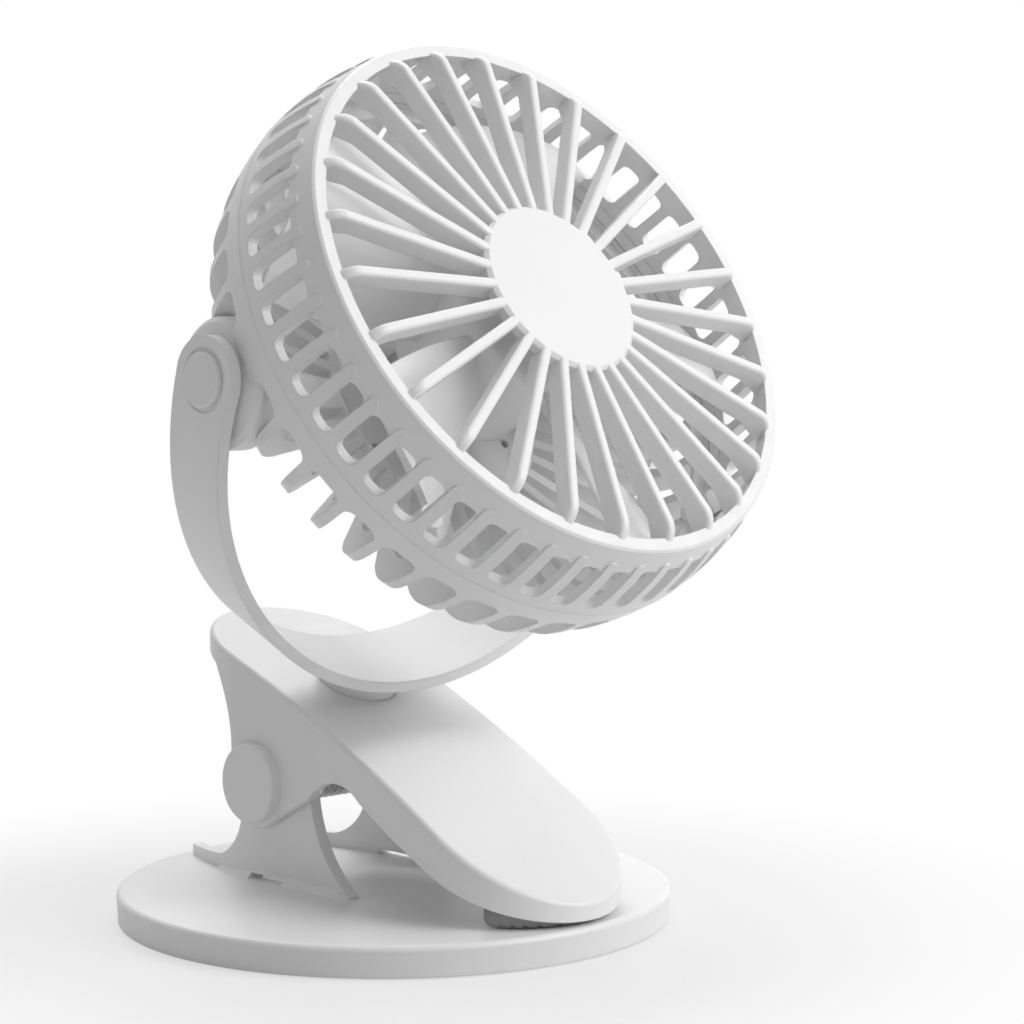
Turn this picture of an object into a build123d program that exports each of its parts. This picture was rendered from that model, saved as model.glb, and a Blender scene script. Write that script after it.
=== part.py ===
from build123d import *
from math import atan2, ceil, cos, degrees, pi, radians, sin, sqrt
import os

# Clip fan. Millimetres, +Z up, origin at the centre of the base's resting face.
# The fan blows towards -Y, and every hinge pin lies along X.
# The head is drawn in its own frame: local Z is the airflow axis, local X the tilt axis.

# ---- base ----------------------------------------------------------------------------
BASE_RADIUS = 60.0
BASE_TOP = 6.8                  # height of the disc's upper face
BASE_EDGE_ROUND = 1.2
BASE_DRAFT = 0.3                # how much narrower the disc is at its foot
BASE_WALL = 2.2
BASE_LIFT = 0.4                 # gap between the disc's rim and the table
FOOT_RADIUS = 46.0
FOOT_THICK = 0.8
COVER_THICK = 1.8
BASE_SCREW_CIRCLE = 51.0
BASE_SCREW_COUNT = 4
BASE_SCREW_RADIUS = 1.2
BASE_SCREW_HEAD_RADIUS = 2.6
BASE_SCREW_HEAD_THICK = 1.0
BASE_SCREW_BITE = 3.0           # length of screw in its post
SCREW_POST_WALL = 2.0
SCREW_DRIVE_LENGTH = 3.2        # crossed slots in a screw's head
SCREW_DRIVE_WIDTH = 0.6
SCREW_DRIVE_DEPTH = 0.4
BALLAST_RADIUS = 44.0
BALLAST_HOLE_RADIUS = 9.0

# ---- clip hinge ----------------------------------------------------------------------
CLIP_PIVOT_Y = 20.2
CLIP_PIVOT_Z = 28.7
CLIP_PIN_RADIUS = 2.0
SLEEVE_WALL = 1.1
UPRIGHT_OUTER_X = 19.9          # outer face of each upright
UPRIGHT_THICK = 2.8
UPRIGHT_HEAD_RADIUS = 8.2
UPRIGHT_TOE_Y = -7.6            # front point of the foot
UPRIGHT_TOE_HEIGHT = 0.5
UPRIGHT_INSTEP = (-18.2, -10.9)  # places on the outline, measured from the hinge
UPRIGHT_WAIST = (-15.2, -0.7)
UPRIGHT_SHOULDER = (-11.0, 4.9)
UPRIGHT_ANKLE_DROP = 8.2
UPRIGHT_ARCH = (11.2, -14.7)
UPRIGHT_HEEL_Y = 38.0
UPRIGHT_HEEL_HEIGHT = 3.2
UPRIGHT_TAIL_Y = 55.0
UPRIGHT_TAIL_X = 12.4
UPRIGHT_TAIL_HEIGHT = 2.2
UPRIGHT_TAIL_CURVE = 0.27       # how far the plan has come in halfway to the tail
UPRIGHT_FOOT_FLARE = 1.6
UPRIGHT_FLARE_TURN = 0.3        # share of the tail's draw-in that the flare has at the heel
DRAIN_SLOT_FRONT = 13.2
DRAIN_SLOT_REAR = 24.4
DRAIN_SLOT_HEIGHT = 1.2
SPRING_WIRE = 1.4
SPRING_MEAN_RADIUS = 4.9
SPRING_PITCH = 2.0
SPRING_FULL_TURNS = 6
SPRING_REST_Y = 37.5            # where both legs bear

# ---- clip jaw ------------------------------------------------------------------------
JAW_HALF_WIDTH = 22.5
JAW_WALL = 2.2
JAW_FRONT_Y = -59.0
JAW_REAR_Y = 50.5
JAW_CROWN_RADIUS = 429.0        # long gentle arch of the pressing plate
JAW_SLOPE = 22.8                # degrees of slope where the swivel stands
JAW_EDGE_ROUND = 1.2
JAW_TIP_UNDERSIDE = 7.8
JAW_SKIRT_SAG = 2.1             # how far the skirt's lower edge bows below a straight line
JAW_REAR_DEPTH = 4.6
JAW_WEB_RADIUS = 9.6            # web below the hinge
JAW_WEB_LEAN = 35.0             # degrees forward of straight down where the web's round ends
JAW_WEB_REAR = (8.7, 1.0)       # places on the web's rear edge, measured from the hinge
JAW_WEB_HOLLOW = (10.2, 17.0)
JAW_WEB_HEEL = (2.6, -9.6)
JAW_NECK = 15.1                 # behind the hinge, where the web leaves the plate's skirt
JAW_BOSS_RADIUS = 8.7
JAW_BOSS_HEIGHT = 2.5
JAW_BOSS_ROUND = 0.7
JAW_BOSS_FLOOR = 1.2            # what closes the pin's blind bore
THROAT_REAR = (2.2, 27.4)       # arch over the throat, as (y, z)
THROAT_TOP = (-5.6, 31.6)
THROAT_FRONT = (-13.6, 28.6)
PAD_REAR_Y = -43.6
PAD_CORNER = 3.0

# ---- swivel and bracket --------------------------------------------------------------
SWIVEL_LEAN = 24.6              # degrees that the swivel axis leans forward
SWIVEL_FOOT_Y = 12.4            # where the swivel axis meets the plate
SWIVEL_FOOT_Z = 49.64
SWIVEL_COLLAR_RADIUS = 9.0
SWIVEL_SEAT_DEPTH = 0.6
SWIVEL_STEM_RADIUS = 4.5
SWIVEL_SCREW_RADIUS = 1.5
SWIVEL_SCREW_HEAD_RADIUS = 3.0
SWIVEL_SCREW_HEAD_THICK = 1.6
SWIVEL_SCREW_BITE = 1.2         # length of screw in the strap
SWIVEL_WASHER_RADIUS = 8.0
SWIVEL_WASHER_THICK = 1.0
SWIVEL_WASHER_DROP = 0.55       # from the plate's underside to the washer
STRAP_DROP = 1.5                # centre of the U below the tilt axis
STRAP_THICK = 2.4
STRAP_EAR_RADIUS = 8.65
STRAP_FOOT_HALF_WIDTH = 10.8
STRAP_FOOT_SHIFT = 5.2          # the foot lies this far forward of the ears
STRAP_FRONT_CURVE = 1.0         # hollow of its front and rear edges halfway down
STRAP_REAR_CURVE = -1.7
STRAP_CLEARANCE = 0.2           # between the U and the barrel's widest place
SWIVEL_COLLAR_HEIGHT = 6.3      # plate to strap
PIVOT_CAP_RADIUS = 5.4
PIVOT_GROOVE_RADIUS = 6.3       # shallow ring groove round the cap
PIVOT_GROOVE_DEPTH = 0.4
PIVOT_CAP_HEIGHT = 0.9
PIVOT_CAP_ROUND = 0.4
PIVOT_SPIGOT_RADIUS = 4.9
PIVOT_SPIGOT_WALL = 0.9
PIVOT_SPIGOT_DEPTH = 1.4
PIVOT_BOLT_RADIUS = 2.0
PIVOT_BOLT_HEAD_RADIUS = 3.9
PIVOT_BOLT_HEAD_THICK = 0.9
PIVOT_BOLT_LENGTH = 9.0
PIVOT_WASHER_RADIUS = 7.0
PIVOT_WASHER_THICK = 0.7

# ---- head ----------------------------------------------------------------------------
HEAD_TILT = 30.0                # degrees that the airflow axis rises above level
BARREL_RADIUS = 62.8            # widest place
BARREL_WIDEST_DEPTH = 17.2      # its distance ahead of the tilt axis
BARREL_FRONT_BULGE = 50.7       # radius of the barrel's curve ahead of the widest place
BARREL_REAR_BULGE = 46.0
HEAD_WALL = 2.2
PART_DEPTH = 15.8               # where the two shells meet
PART_GAP = 0.3
LIP_THICK = 1.1
LIP_LENGTH = 2.0
RING_INSET = 3.6                # front rim inside the widest place
RING_DEPTH = 36.2
RING_WIDTH = 3.0
RING_ROUND = 0.5
SLOT_COUNT = 51
SLOT_PHASE = 1.1
SLOT_WIDTH = 5.0
SLOT_REAR = 18.8
SLOT_FRONT = 30.2
SLOT_CORNER = 1.7
BAND_STEP = 0.45                # the bars stand this proud of the front band
TAB_LENGTH = 2.2
RIB_COUNT = 27
RIB_PHASE = 5.1
RIB_THICK = 2.2
RIB_DEPTH = 4.4
RIB_ROUND = 0.8
RIB_SHOULDER_DEPTH = 38.5
RIB_SHOULDER_ROUND = 2.6
RIB_CORNER_INSET = (0.52, 0.78)  # middle of the rounded corner, in from the sharp one
HUB_DISC_RADIUS = 19.2
HUB_DISC_DEPTH = 37.4
HUB_DISC_CROWN = 0.4
HUB_DISC_THICK = 2.6
HUB_DISC_ROUND = 0.8
PETAL_COUNT = 39
PETAL_PHASE = 4.5
PETAL_FRONT = 11.3
PETAL_BAR_THICK = 2.2
PETAL_BAR_DEPTH = 5.6
PETAL_CORNER = 2.4
REAR_EDGE_DEPTH = 1.5           # where the side turns over to the back
REAR_SHOULDER_INSET = 12.8
REAR_SHOULDER_DEPTH = -7.8
REAR_TURN_INSET = 6.3           # a place on the turned corner
REAR_TURN_DEPTH = -3.7
REAR_EDGE_INWARD = 0.35         # how far these three places move for each mm of wall
REAR_TURN_INWARD = (0.8, 0.7)
REAR_SHOULDER_INWARD = 0.4
REAR_PLATE_RADIUS = 27.0
REAR_PLATE_DEPTH = -11.6
EAR_HALF_ANGLE = 6.0            # no openings this near the tilt axis
EAR_SHIFT = 1.5                 # the boss stands this far behind the tilt axis
EAR_PROFILE = ((13.2, 9.0), (7.0, 13.0), (2.2, 13.0), (1.2, 12.0), (0.0, 8.6))  # (inset, radius)
GRILLE_SCREW_COUNT = 4
GRILLE_SCREW_INSET = 4.8        # screw circle inside the widest place
GRILLE_SCREW_RADIUS = 0.9
GRILLE_SCREW_HEAD_RADIUS = 1.8
GRILLE_SCREW_HEAD_THICK = 1.0
GRILLE_SCREW_BITE = 3.0
GRILLE_POST_RADIUS = 2.5
GRILLE_POST_DEPTH = 4.0

# ---- motor and fan wheel -------------------------------------------------------------
MOTOR_RADIUS = 12.0
MOTOR_WALL = 0.9
MOTOR_LENGTH = 15.0
MOTOR_CAP_THICK = 1.6
MOTOR_BUSHING_RADIUS = 3.0
MOTOR_BUSHING_LENGTH = 3.4
MOTOR_MAGNET_THICK = 1.8
MOTOR_AIR_GAP = 0.4
MOTOR_ROTOR_LENGTH = 8.0
MOTOR_SHAFT_RADIUS = 1.0
MOTOR_SHAFT_REACH = 12.0        # shaft beyond the can
MOTOR_SCREW_CIRCLE = 8.0
MOTOR_SCREW_RADIUS = 1.0
MOTOR_SCREW_HEAD_RADIUS = 1.9
MOTOR_SCREW_HEAD_THICK = 1.1
WHEEL_HUB_RADIUS = 16.5
WHEEL_HUB_WALL = 1.6
WHEEL_HUB_REAR = 3.0
WHEEL_HUB_FRONT = 26.0
WHEEL_HUB_ROUND = 3.0
WHEEL_BOSS_RADIUS = 3.5
WHEEL_TIP_INSET = 9.8           # blade tips inside the widest place
BLADE_COUNT = 5
BLADE_THICK = 1.7
BLADE_EDGE = 0.6
BLADE_MIDDLE_DEPTH = 16.5
BLADE_ROOT_CHORD = 19.0
BLADE_MEAN_CHORD = 34.0
BLADE_TIP_CHORD = 41.0
BLADE_ROOT_PITCH = 46.0
BLADE_MEAN_PITCH = 35.0
BLADE_TIP_PITCH = 26.0
BLADE_CAMBER = 0.09             # share of the chord

# ---- battery and switch room behind the hub ------------------------------------------
DOME_REACH = 13.8               # behind the rear plate
DOME_WALL = 2.0
DOME_SHOULDER = 7.0             # radius of its rounded edge
DOME_SCREW_COUNT = 3
DOME_SCREW_CIRCLE = 21.5
DOME_SCREW_RADIUS = 1.0
DOME_SCREW_HEAD_RADIUS = 1.9
DOME_SCREW_HEAD_THICK = 1.0
DOME_POST_RADIUS = 2.6
DOME_SCREW_PHASE = 90.0
BATTERY_WIDTH = 30.0
BATTERY_HEIGHT = 24.0
BATTERY_THICK = 4.6
BATTERY_ROUND = 1.5
BOARD_WIDTH = 28.0
BOARD_HEIGHT = 30.0
BOARD_THICK = 1.2
BUTTON_RADIUS = 5.0
BUTTON_PROUD = 1.1
BUTTON_ROUND = 0.5
BUTTON_FLANGE = 0.9
BUTTON_TRAVEL = 0.5
BUTTON_Y = 7.5
SWITCH_SIZE = 6.0
SWITCH_HEIGHT = 2.2
PORT_Y = -9.0
PORT_WIDTH = 8.9
PORT_HEIGHT = 3.2
PORT_WALL = 0.4
PORT_SLEEVE = 0.25              # gap round the socket's shell in the dome
LENS_RADIUS = 1.2
LENS_FLANGE = 0.6
LENS_X = 9.0

RUNNING = 0.05                  # radial gap round a turning pin
SEAT = 0.02                     # gap where one fixed piece seats in another
GAP = 0.15                      # gap between faces that nearly meet
MERGE = 0.6                     # overlap of solids that become one piece
OVER = 1.0                      # how far a cut runs past what it cuts
FAR = 100.0                     # beyond the whole object
SAME = 0.01                     # lengths nearer than this count as equal

# ---- places worked out from the dimensions -------------------------------------------
STRAP_RADIUS = BARREL_RADIUS + STRAP_CLEARANCE + STRAP_THICK
TILT_AXIS_REACH = SWIVEL_COLLAR_HEIGHT + STRAP_RADIUS + STRAP_DROP
LEAN_SIN = sin(radians(SWIVEL_LEAN))
LEAN_COS = cos(radians(SWIVEL_LEAN))
TILT_AXIS_Y = SWIVEL_FOOT_Y - TILT_AXIS_REACH * LEAN_SIN
TILT_AXIS_Z = SWIVEL_FOOT_Z + TILT_AXIS_REACH * LEAN_COS
CROWN_Y = SWIVEL_FOOT_Y + JAW_CROWN_RADIUS * sin(radians(JAW_SLOPE))
CROWN_Z = SWIVEL_FOOT_Z - JAW_CROWN_RADIUS * cos(radians(JAW_SLOPE))
UPRIGHT_INNER_X = UPRIGHT_OUTER_X - UPRIGHT_THICK
COVER_TOP = FOOT_THICK + COVER_THICK
BASE_CEILING = BASE_TOP - BASE_WALL
STRAP_INNER = STRAP_RADIUS - STRAP_THICK
EAR_TIP_X = STRAP_INNER - PIVOT_WASHER_THICK - 2 * RUNNING
RING_RADIUS = BARREL_RADIUS - RING_INSET
RING_INNER = RING_RADIUS - RING_WIDTH
RIB_SHOULDER_RADIUS = RING_INNER - RIB_SHOULDER_ROUND
BAND_START = SLOT_FRONT - SLOT_CORNER
REAR_SHOULDER_RADIUS = BARREL_RADIUS - REAR_SHOULDER_INSET
REAR_TURN_RADIUS = BARREL_RADIUS - REAR_TURN_INSET
GRILLE_SCREW_CIRCLE = BARREL_RADIUS - GRILLE_SCREW_INSET
WHEEL_TIP_RADIUS = BARREL_RADIUS - WHEEL_TIP_INSET
REAR_PLATE_INSIDE = REAR_PLATE_DEPTH + HEAD_WALL
MOTOR_FRONT = REAR_PLATE_INSIDE + SEAT + MOTOR_LENGTH
DOME_DEPTH = REAR_PLATE_DEPTH - DOME_REACH
DOME_FLOOR = DOME_DEPTH + DOME_WALL
SWITCH_BACK = DOME_FLOOR + BUTTON_FLANGE + BUTTON_TRAVEL + GAP
BOARD_BACK = SWITCH_BACK + SWITCH_HEIGHT
BATTERY_BACK = BOARD_BACK + BOARD_THICK + GAP
HEAD = Location((0, TILT_AXIS_Y, TILT_AXIS_Z), (90 - HEAD_TILT, 0, 0))
BRACKET = Location((0, TILT_AXIS_Y, TILT_AXIS_Z), (SWIVEL_LEAN, 0, 0))
SWIVEL = Location((0, SWIVEL_FOOT_Y, SWIVEL_FOOT_Z), (SWIVEL_LEAN, 0, 0))
TILT_AXIS = Location((0, TILT_AXIS_Y, TILT_AXIS_Z), (0, 90, 0))
CLIP_PIVOT = Location((0, CLIP_PIVOT_Y, CLIP_PIVOT_Z), (0, 90, 0))

PARTS = {}


def keep(name, solid):
    PARTS[name] = solid


def crown_height(y, below=0.0):
    """Height of the pressing plate's upper face, or of a face that far below it."""
    return CROWN_Z + sqrt((JAW_CROWN_RADIUS - below) ** 2 - (CROWN_Y - y) ** 2)


def side_face(outline):
    """A face in the YZ plane from a closed list of edges written as (y, z)."""
    return Plane.YZ * make_face(outline)


def across(face, half_width):
    """A side face made solid to the same distance on both sides of the middle."""
    return extrude(face, amount=half_width, both=True)


def rod(radius, low, high):
    """A round bar along local Z between two heights."""
    upward = (Align.CENTER, Align.CENTER, Align.MIN)
    return Pos(0, 0, low) * Cylinder(radius, high - low, align=upward)


def tube(outer, inner, low, high):
    return rod(outer, low, high) - rod(inner, low - OVER, high + OVER)


def round_solid(outline):
    """A solid of revolution about local Z from a closed list of edges written as (r, z)."""
    return revolve(Plane.XZ * make_face(outline), Axis.Z)


def polygon(*points):
    """Straight edges that close through the given points."""
    return [Line(a, b) for a, b in zip(points, points[1:] + points[:1])]


def ring_of(solid, count, start=0.0):
    """The same solid repeated round local Z."""
    return [Rot(0, 0, start + 360 * i / count) * solid for i in range(count)]


def group(solids):
    """Separate solids that share one node."""
    return Compound(children=solids)


def screw_along(radius, head_radius, head_thick, length):
    """A screw whose head's outer face is at 0 and whose tip points up local Z."""
    length_of_slot = SCREW_DRIVE_LENGTH * head_radius / BASE_SCREW_HEAD_RADIUS
    drive = Box(length_of_slot, SCREW_DRIVE_WIDTH, 2 * SCREW_DRIVE_DEPTH)
    head = rod(head_radius, 0, head_thick) - drive - Rot(0, 0, 90) * drive
    return head + rod(radius, head_thick, head_thick + length)


# ---- base ----------------------------------------------------------------------------
def stadium(half_width, front, rear):
    """Plan outline with straight sides and round ends, as a face in XY."""
    return Pos(0, (front + rear) / 2) * (Rot(0, 0, 90) * SlotOverall(rear - front, 2 * half_width))


def from_pivot(offset):
    """A place (y, z) given by its distance from the clip hinge."""
    return CLIP_PIVOT_Y + offset[0], CLIP_PIVOT_Z + offset[1]


def upright_side():
    """Side view of one upright: round head, sweeping front and rear feet, low tail."""
    sunk = BASE_TOP - MERGE
    reach = UPRIGHT_HEAD_RADIUS
    toe = (UPRIGHT_TOE_Y, BASE_TOP + UPRIGHT_TOE_HEIGHT)
    waist = from_pivot(UPRIGHT_WAIST)
    shoulder = from_pivot(UPRIGHT_SHOULDER)
    top = (CLIP_PIVOT_Y, CLIP_PIVOT_Z + reach)
    rear = (CLIP_PIVOT_Y + reach, CLIP_PIVOT_Z)
    ankle = (CLIP_PIVOT_Y + reach, CLIP_PIVOT_Z - UPRIGHT_ANKLE_DROP)
    heel = (UPRIGHT_HEEL_Y, BASE_TOP + UPRIGHT_HEEL_HEIGHT)
    tail = (UPRIGHT_TAIL_Y, BASE_TOP + UPRIGHT_TAIL_HEIGHT)
    return [
        Line((toe[0], sunk), toe),
        ThreePointArc(toe, from_pivot(UPRIGHT_INSTEP), waist),
        Line(waist, shoulder),
        Line(shoulder, top),
        ThreePointArc(top, (top[0] + reach * sqrt(0.5), rear[1] + reach * sqrt(0.5)), rear),
        Line(rear, ankle),
        ThreePointArc(ankle, from_pivot(UPRIGHT_ARCH), heel),
        Line(heel, tail),
        Line(tail, (tail[0], sunk)),
        Line((tail[0], sunk), (toe[0], sunk)),
    ]


def upright_plan():
    """Plan of the right upright: straight beside the throat, then drawn in to its tail."""
    outer, inner = UPRIGHT_OUTER_X, UPRIGHT_INNER_X
    front = UPRIGHT_TOE_Y - OVER
    turn = DRAIN_SLOT_REAR
    rear = UPRIGHT_TAIL_Y + OVER
    tail_outer, tail_inner = UPRIGHT_TAIL_X, UPRIGHT_TAIL_X - UPRIGHT_THICK
    halfway = (turn + rear) / 2
    outer_bend = (outer + (tail_outer - outer) * UPRIGHT_TAIL_CURVE, halfway)
    inner_bend = (inner + (tail_inner - inner) * UPRIGHT_TAIL_CURVE, halfway)
    return make_face([
        Line((outer, front), (outer, turn)),
        ThreePointArc((outer, turn), outer_bend, (tail_outer, rear)),
        Line((tail_outer, rear), (tail_inner, rear)),
        ThreePointArc((tail_inner, rear), inner_bend, (inner, turn)),
        Line((inner, turn), (inner, front)),
        Line((inner, front), (outer, front)),
    ])


def base_shell():
    edge = BASE_EDGE_ROUND
    soft = edge * (1 - sqrt(0.5))
    rim = BASE_RADIUS - BASE_DRAFT
    cavity = BASE_RADIUS - BASE_WALL
    shell = round_solid([
        Line((0, BASE_TOP), (BASE_RADIUS - edge, BASE_TOP)),
        ThreePointArc((BASE_RADIUS - edge, BASE_TOP), (BASE_RADIUS - soft, BASE_TOP - soft),
                      (BASE_RADIUS, BASE_TOP - edge)),
        Line((BASE_RADIUS, BASE_TOP - edge), (rim, BASE_LIFT)),
        Line((rim, BASE_LIFT), (cavity, BASE_LIFT)),
        Line((cavity, BASE_LIFT), (cavity, BASE_CEILING)),
        Line((cavity, BASE_CEILING), (0, BASE_CEILING)),
        Line((0, BASE_CEILING), (0, BASE_TOP)),
    ])
    upright = across(side_face(upright_side()), BASE_RADIUS) & extrude(upright_plan(), amount=FAR)
    shell = shell + upright + mirror(upright, Plane.YZ)
    flare = Pos(0, 0, BASE_TOP - SEAT) * extrude(upright_flare(), amount=UPRIGHT_FOOT_FLARE, taper=45)
    shell = shell + flare + mirror(flare, Plane.YZ)
    slot_length = DRAIN_SLOT_REAR - DRAIN_SLOT_FRONT
    slot = Pos(0, (DRAIN_SLOT_FRONT + DRAIN_SLOT_REAR) / 2, BASE_TOP + DRAIN_SLOT_HEIGHT / 2) * Box(
        2 * (UPRIGHT_OUTER_X + UPRIGHT_FOOT_FLARE + OVER), slot_length, DRAIN_SLOT_HEIGHT)
    shell = shell - slot
    shell = shell - CLIP_PIVOT * rod(CLIP_PIN_RADIUS + SEAT, -FAR, FAR)
    screws = Pos(BASE_SCREW_CIRCLE, 0)
    post = rod(BASE_SCREW_RADIUS + SCREW_POST_WALL, COVER_TOP + GAP, BASE_CEILING + MERGE / 2)
    shell = shell + ring_of(screws * post, BASE_SCREW_COUNT, 45)
    bore_top = FOOT_THICK + BASE_SCREW_HEAD_THICK + BASE_SCREW_BITE + GAP
    bore = rod(BASE_SCREW_RADIUS + SEAT, COVER_TOP, bore_top)
    return shell - ring_of(screws * bore, BASE_SCREW_COUNT, 45)


def upright_flare():
    """Plan of the sloping foot that spreads the right upright's outer side onto the disc."""
    inner, outer = UPRIGHT_INNER_X, UPRIGHT_OUTER_X + UPRIGHT_FOOT_FLARE
    toe, heel = UPRIGHT_TOE_Y, UPRIGHT_HEEL_Y
    front = toe + 2 * UPRIGHT_FOOT_FLARE
    heel_outer = outer + (UPRIGHT_TAIL_X - UPRIGHT_OUTER_X) * UPRIGHT_FLARE_TURN
    return make_face(polygon((inner, toe), (UPRIGHT_OUTER_X, toe), (outer, front),
                             (outer, DRAIN_SLOT_REAR), (heel_outer, heel), (inner, heel)))


def base_cover():
    cover = rod(BASE_RADIUS - BASE_WALL - GAP, FOOT_THICK, COVER_TOP)
    head_seat = FOOT_THICK + BASE_SCREW_HEAD_THICK + SEAT
    hole = rod(BASE_SCREW_RADIUS + RUNNING, 0, COVER_TOP + OVER)
    hole = hole + rod(BASE_SCREW_HEAD_RADIUS + GAP, 0, head_seat)
    return cover - ring_of(Pos(BASE_SCREW_CIRCLE, 0) * hole, BASE_SCREW_COUNT, 45)


def base_screws():
    screw = screw_along(BASE_SCREW_RADIUS, BASE_SCREW_HEAD_RADIUS, BASE_SCREW_HEAD_THICK, BASE_SCREW_BITE)
    return group(ring_of(Pos(BASE_SCREW_CIRCLE, 0, FOOT_THICK) * screw, BASE_SCREW_COUNT, 45))


def torsion_spring():
    """A wire coil round the clip pin with two long legs, one unbroken tube on part turns."""
    bearing = SPRING_WIRE / 2 + 2 * GAP
    low = (SPRING_REST_Y, BASE_TOP + bearing)
    high = (SPRING_REST_Y, crown_height(SPRING_REST_Y, JAW_WALL + bearing))
    first, lower_leg = leg_angle(low, -1)
    last, upper_leg = leg_angle(high, 1)
    total = (last - first) % 360 + 360 * SPRING_FULL_TURNS
    steps = ceil(total / 90)
    turn = total / steps
    half = SPRING_PITCH * total / 720

    def at(step):
        angle = radians(first + turn * step)
        return Vector(SPRING_PITCH * turn * step / 360 - half,
                      CLIP_PIVOT_Y + SPRING_MEAN_RADIUS * cos(angle),
                      CLIP_PIVOT_Z + SPRING_MEAN_RADIUS * sin(angle))

    def along(step):
        angle = radians(first + turn * step)
        rise = SPRING_PITCH / (2 * pi * SPRING_MEAN_RADIUS)
        return Vector(rise, -sin(angle), cos(angle)).normalized()

    path = []
    for step in range(steps):
        path += biarc(at(step), along(step), at(step + 1), along(step + 1))
    low_end = at(0) - along(0) * lower_leg
    high_end = at(steps) + along(steps) * upper_leg
    wire = Wire([Line(low_end, at(0))] + path + [Line(at(steps), high_end)])
    section = Plane(origin=low_end, z_dir=along(0)) * Circle(SPRING_WIRE / 2)
    print("spring least gap to itself", round(least_gap(wire), 2))
    return sweep(section, path=wire)


def leg_angle(end, way):
    """Coil angle where a tangent leg leaves for a point (y, z), and the leg's length."""
    dy, dz = end[0] - CLIP_PIVOT_Y, end[1] - CLIP_PIVOT_Z
    reach = sqrt(dy * dy + dz * dz - SPRING_MEAN_RADIUS ** 2)
    swing = degrees(atan2(reach, SPRING_MEAN_RADIUS))
    return degrees(atan2(dz, dy)) - way * swing, reach


def least_gap(wire):
    """Smallest gap between stretches of the wire more than half a turn apart."""
    count = 400
    apart = pi * SPRING_MEAN_RADIUS
    points = [wire @ (i / count) for i in range(count + 1)]
    step = wire.length / count
    skip = ceil(apart / step)
    near = min((points[i] - points[j]).length
               for i in range(count + 1) for j in range(i + skip, count + 1))
    return near - SPRING_WIRE


def biarc(start, start_dir, end, end_dir):
    """Two tangent arcs that join two points with the given directions."""
    chord = end - start
    both = start_dir + end_dir
    a = 2 * (1 - start_dir.dot(end_dir))
    b = 2 * chord.dot(both)
    c = -chord.dot(chord)
    reach = (-b + sqrt(b * b - 4 * a * c)) / (2 * a)
    middle = (start + start_dir * reach + end - end_dir * reach) / 2
    middle_dir = (end - end_dir * reach - middle).normalized()
    return [TangentArc(start, middle, tangent=start_dir), TangentArc(middle, end, tangent=middle_dir)]


def make_base():
    keep("base_shell", base_shell())
    keep("base_cover", base_cover())
    keep("base_screws", base_screws())
    keep("foot_pad", rod(FOOT_RADIUS, 0, FOOT_THICK))
    keep("ballast_plate", tube(BALLAST_RADIUS, BALLAST_HOLE_RADIUS, COVER_TOP + SEAT, BASE_CEILING - SEAT))
    pin_end = JAW_HALF_WIDTH + JAW_BOSS_HEIGHT - JAW_BOSS_FLOOR - GAP
    keep("clip_pin", CLIP_PIVOT * rod(CLIP_PIN_RADIUS, -pin_end, pin_end))
    sleeve_end = UPRIGHT_INNER_X - GAP
    sleeve_bore = CLIP_PIN_RADIUS + RUNNING
    keep("pin_sleeve", CLIP_PIVOT * tube(sleeve_bore + SLEEVE_WALL, sleeve_bore, -sleeve_end, sleeve_end))
    keep("torsion_spring", torsion_spring())


# ---- jaw -----------------------------------------------------------------------------
def crown_arc(front, rear, below=0.0):
    middle = (front + rear) / 2
    return ThreePointArc((front, crown_height(front, below)), (middle, crown_height(middle, below)),
                         (rear, crown_height(rear, below)))


def jaw_side():
    """Side view of the jaw: arched plate, skirt, pivot web and the arch over the throat."""
    front_top = (JAW_FRONT_Y, crown_height(JAW_FRONT_Y))
    front_low = (JAW_FRONT_Y, JAW_TIP_UNDERSIDE)
    rear_top = (JAW_REAR_Y, crown_height(JAW_REAR_Y))
    rear_low = (JAW_REAR_Y, rear_top[1] - JAW_REAR_DEPTH)
    neck_y = CLIP_PIVOT_Y + JAW_NECK
    neck = (neck_y, crown_height(neck_y, JAW_REAR_DEPTH))
    lean = radians(JAW_WEB_LEAN)
    web_front = from_pivot((-JAW_WEB_RADIUS * sin(lean), -JAW_WEB_RADIUS * cos(lean)))
    skirt = ((THROAT_FRONT[0] + JAW_FRONT_Y) / 2,
             (THROAT_FRONT[1] + JAW_TIP_UNDERSIDE) / 2 - JAW_SKIRT_SAG)
    return [
        Line(front_low, front_top),
        crown_arc(JAW_FRONT_Y, JAW_REAR_Y),
        Line(rear_top, rear_low),
        Line(rear_low, neck),
        ThreePointArc(neck, from_pivot(JAW_WEB_HOLLOW), from_pivot(JAW_WEB_REAR)),
        ThreePointArc(from_pivot(JAW_WEB_REAR), from_pivot(JAW_WEB_HEEL), web_front),
        Line(web_front, THROAT_REAR),
        ThreePointArc(THROAT_REAR, THROAT_TOP, THROAT_FRONT),
        ThreePointArc(THROAT_FRONT, skirt, front_low),
    ]


def jaw_hollow(inset):
    """The space under the plate, that far inside the jaw's own walls."""
    front = JAW_FRONT_Y + JAW_WALL + inset
    rear = JAW_REAR_Y - JAW_WALL - inset
    under = JAW_WALL + inset
    profile = side_face([
        Line((front, 0), (front, crown_height(front, under))),
        crown_arc(front, rear, under),
        Line((rear, crown_height(rear, under)), (rear, 0)),
        Line((rear, 0), (front, 0)),
    ])
    plan = stadium(JAW_HALF_WIDTH - JAW_WALL - inset, front, rear)
    return across(profile, JAW_HALF_WIDTH) & extrude(plan, amount=FAR)


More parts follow.
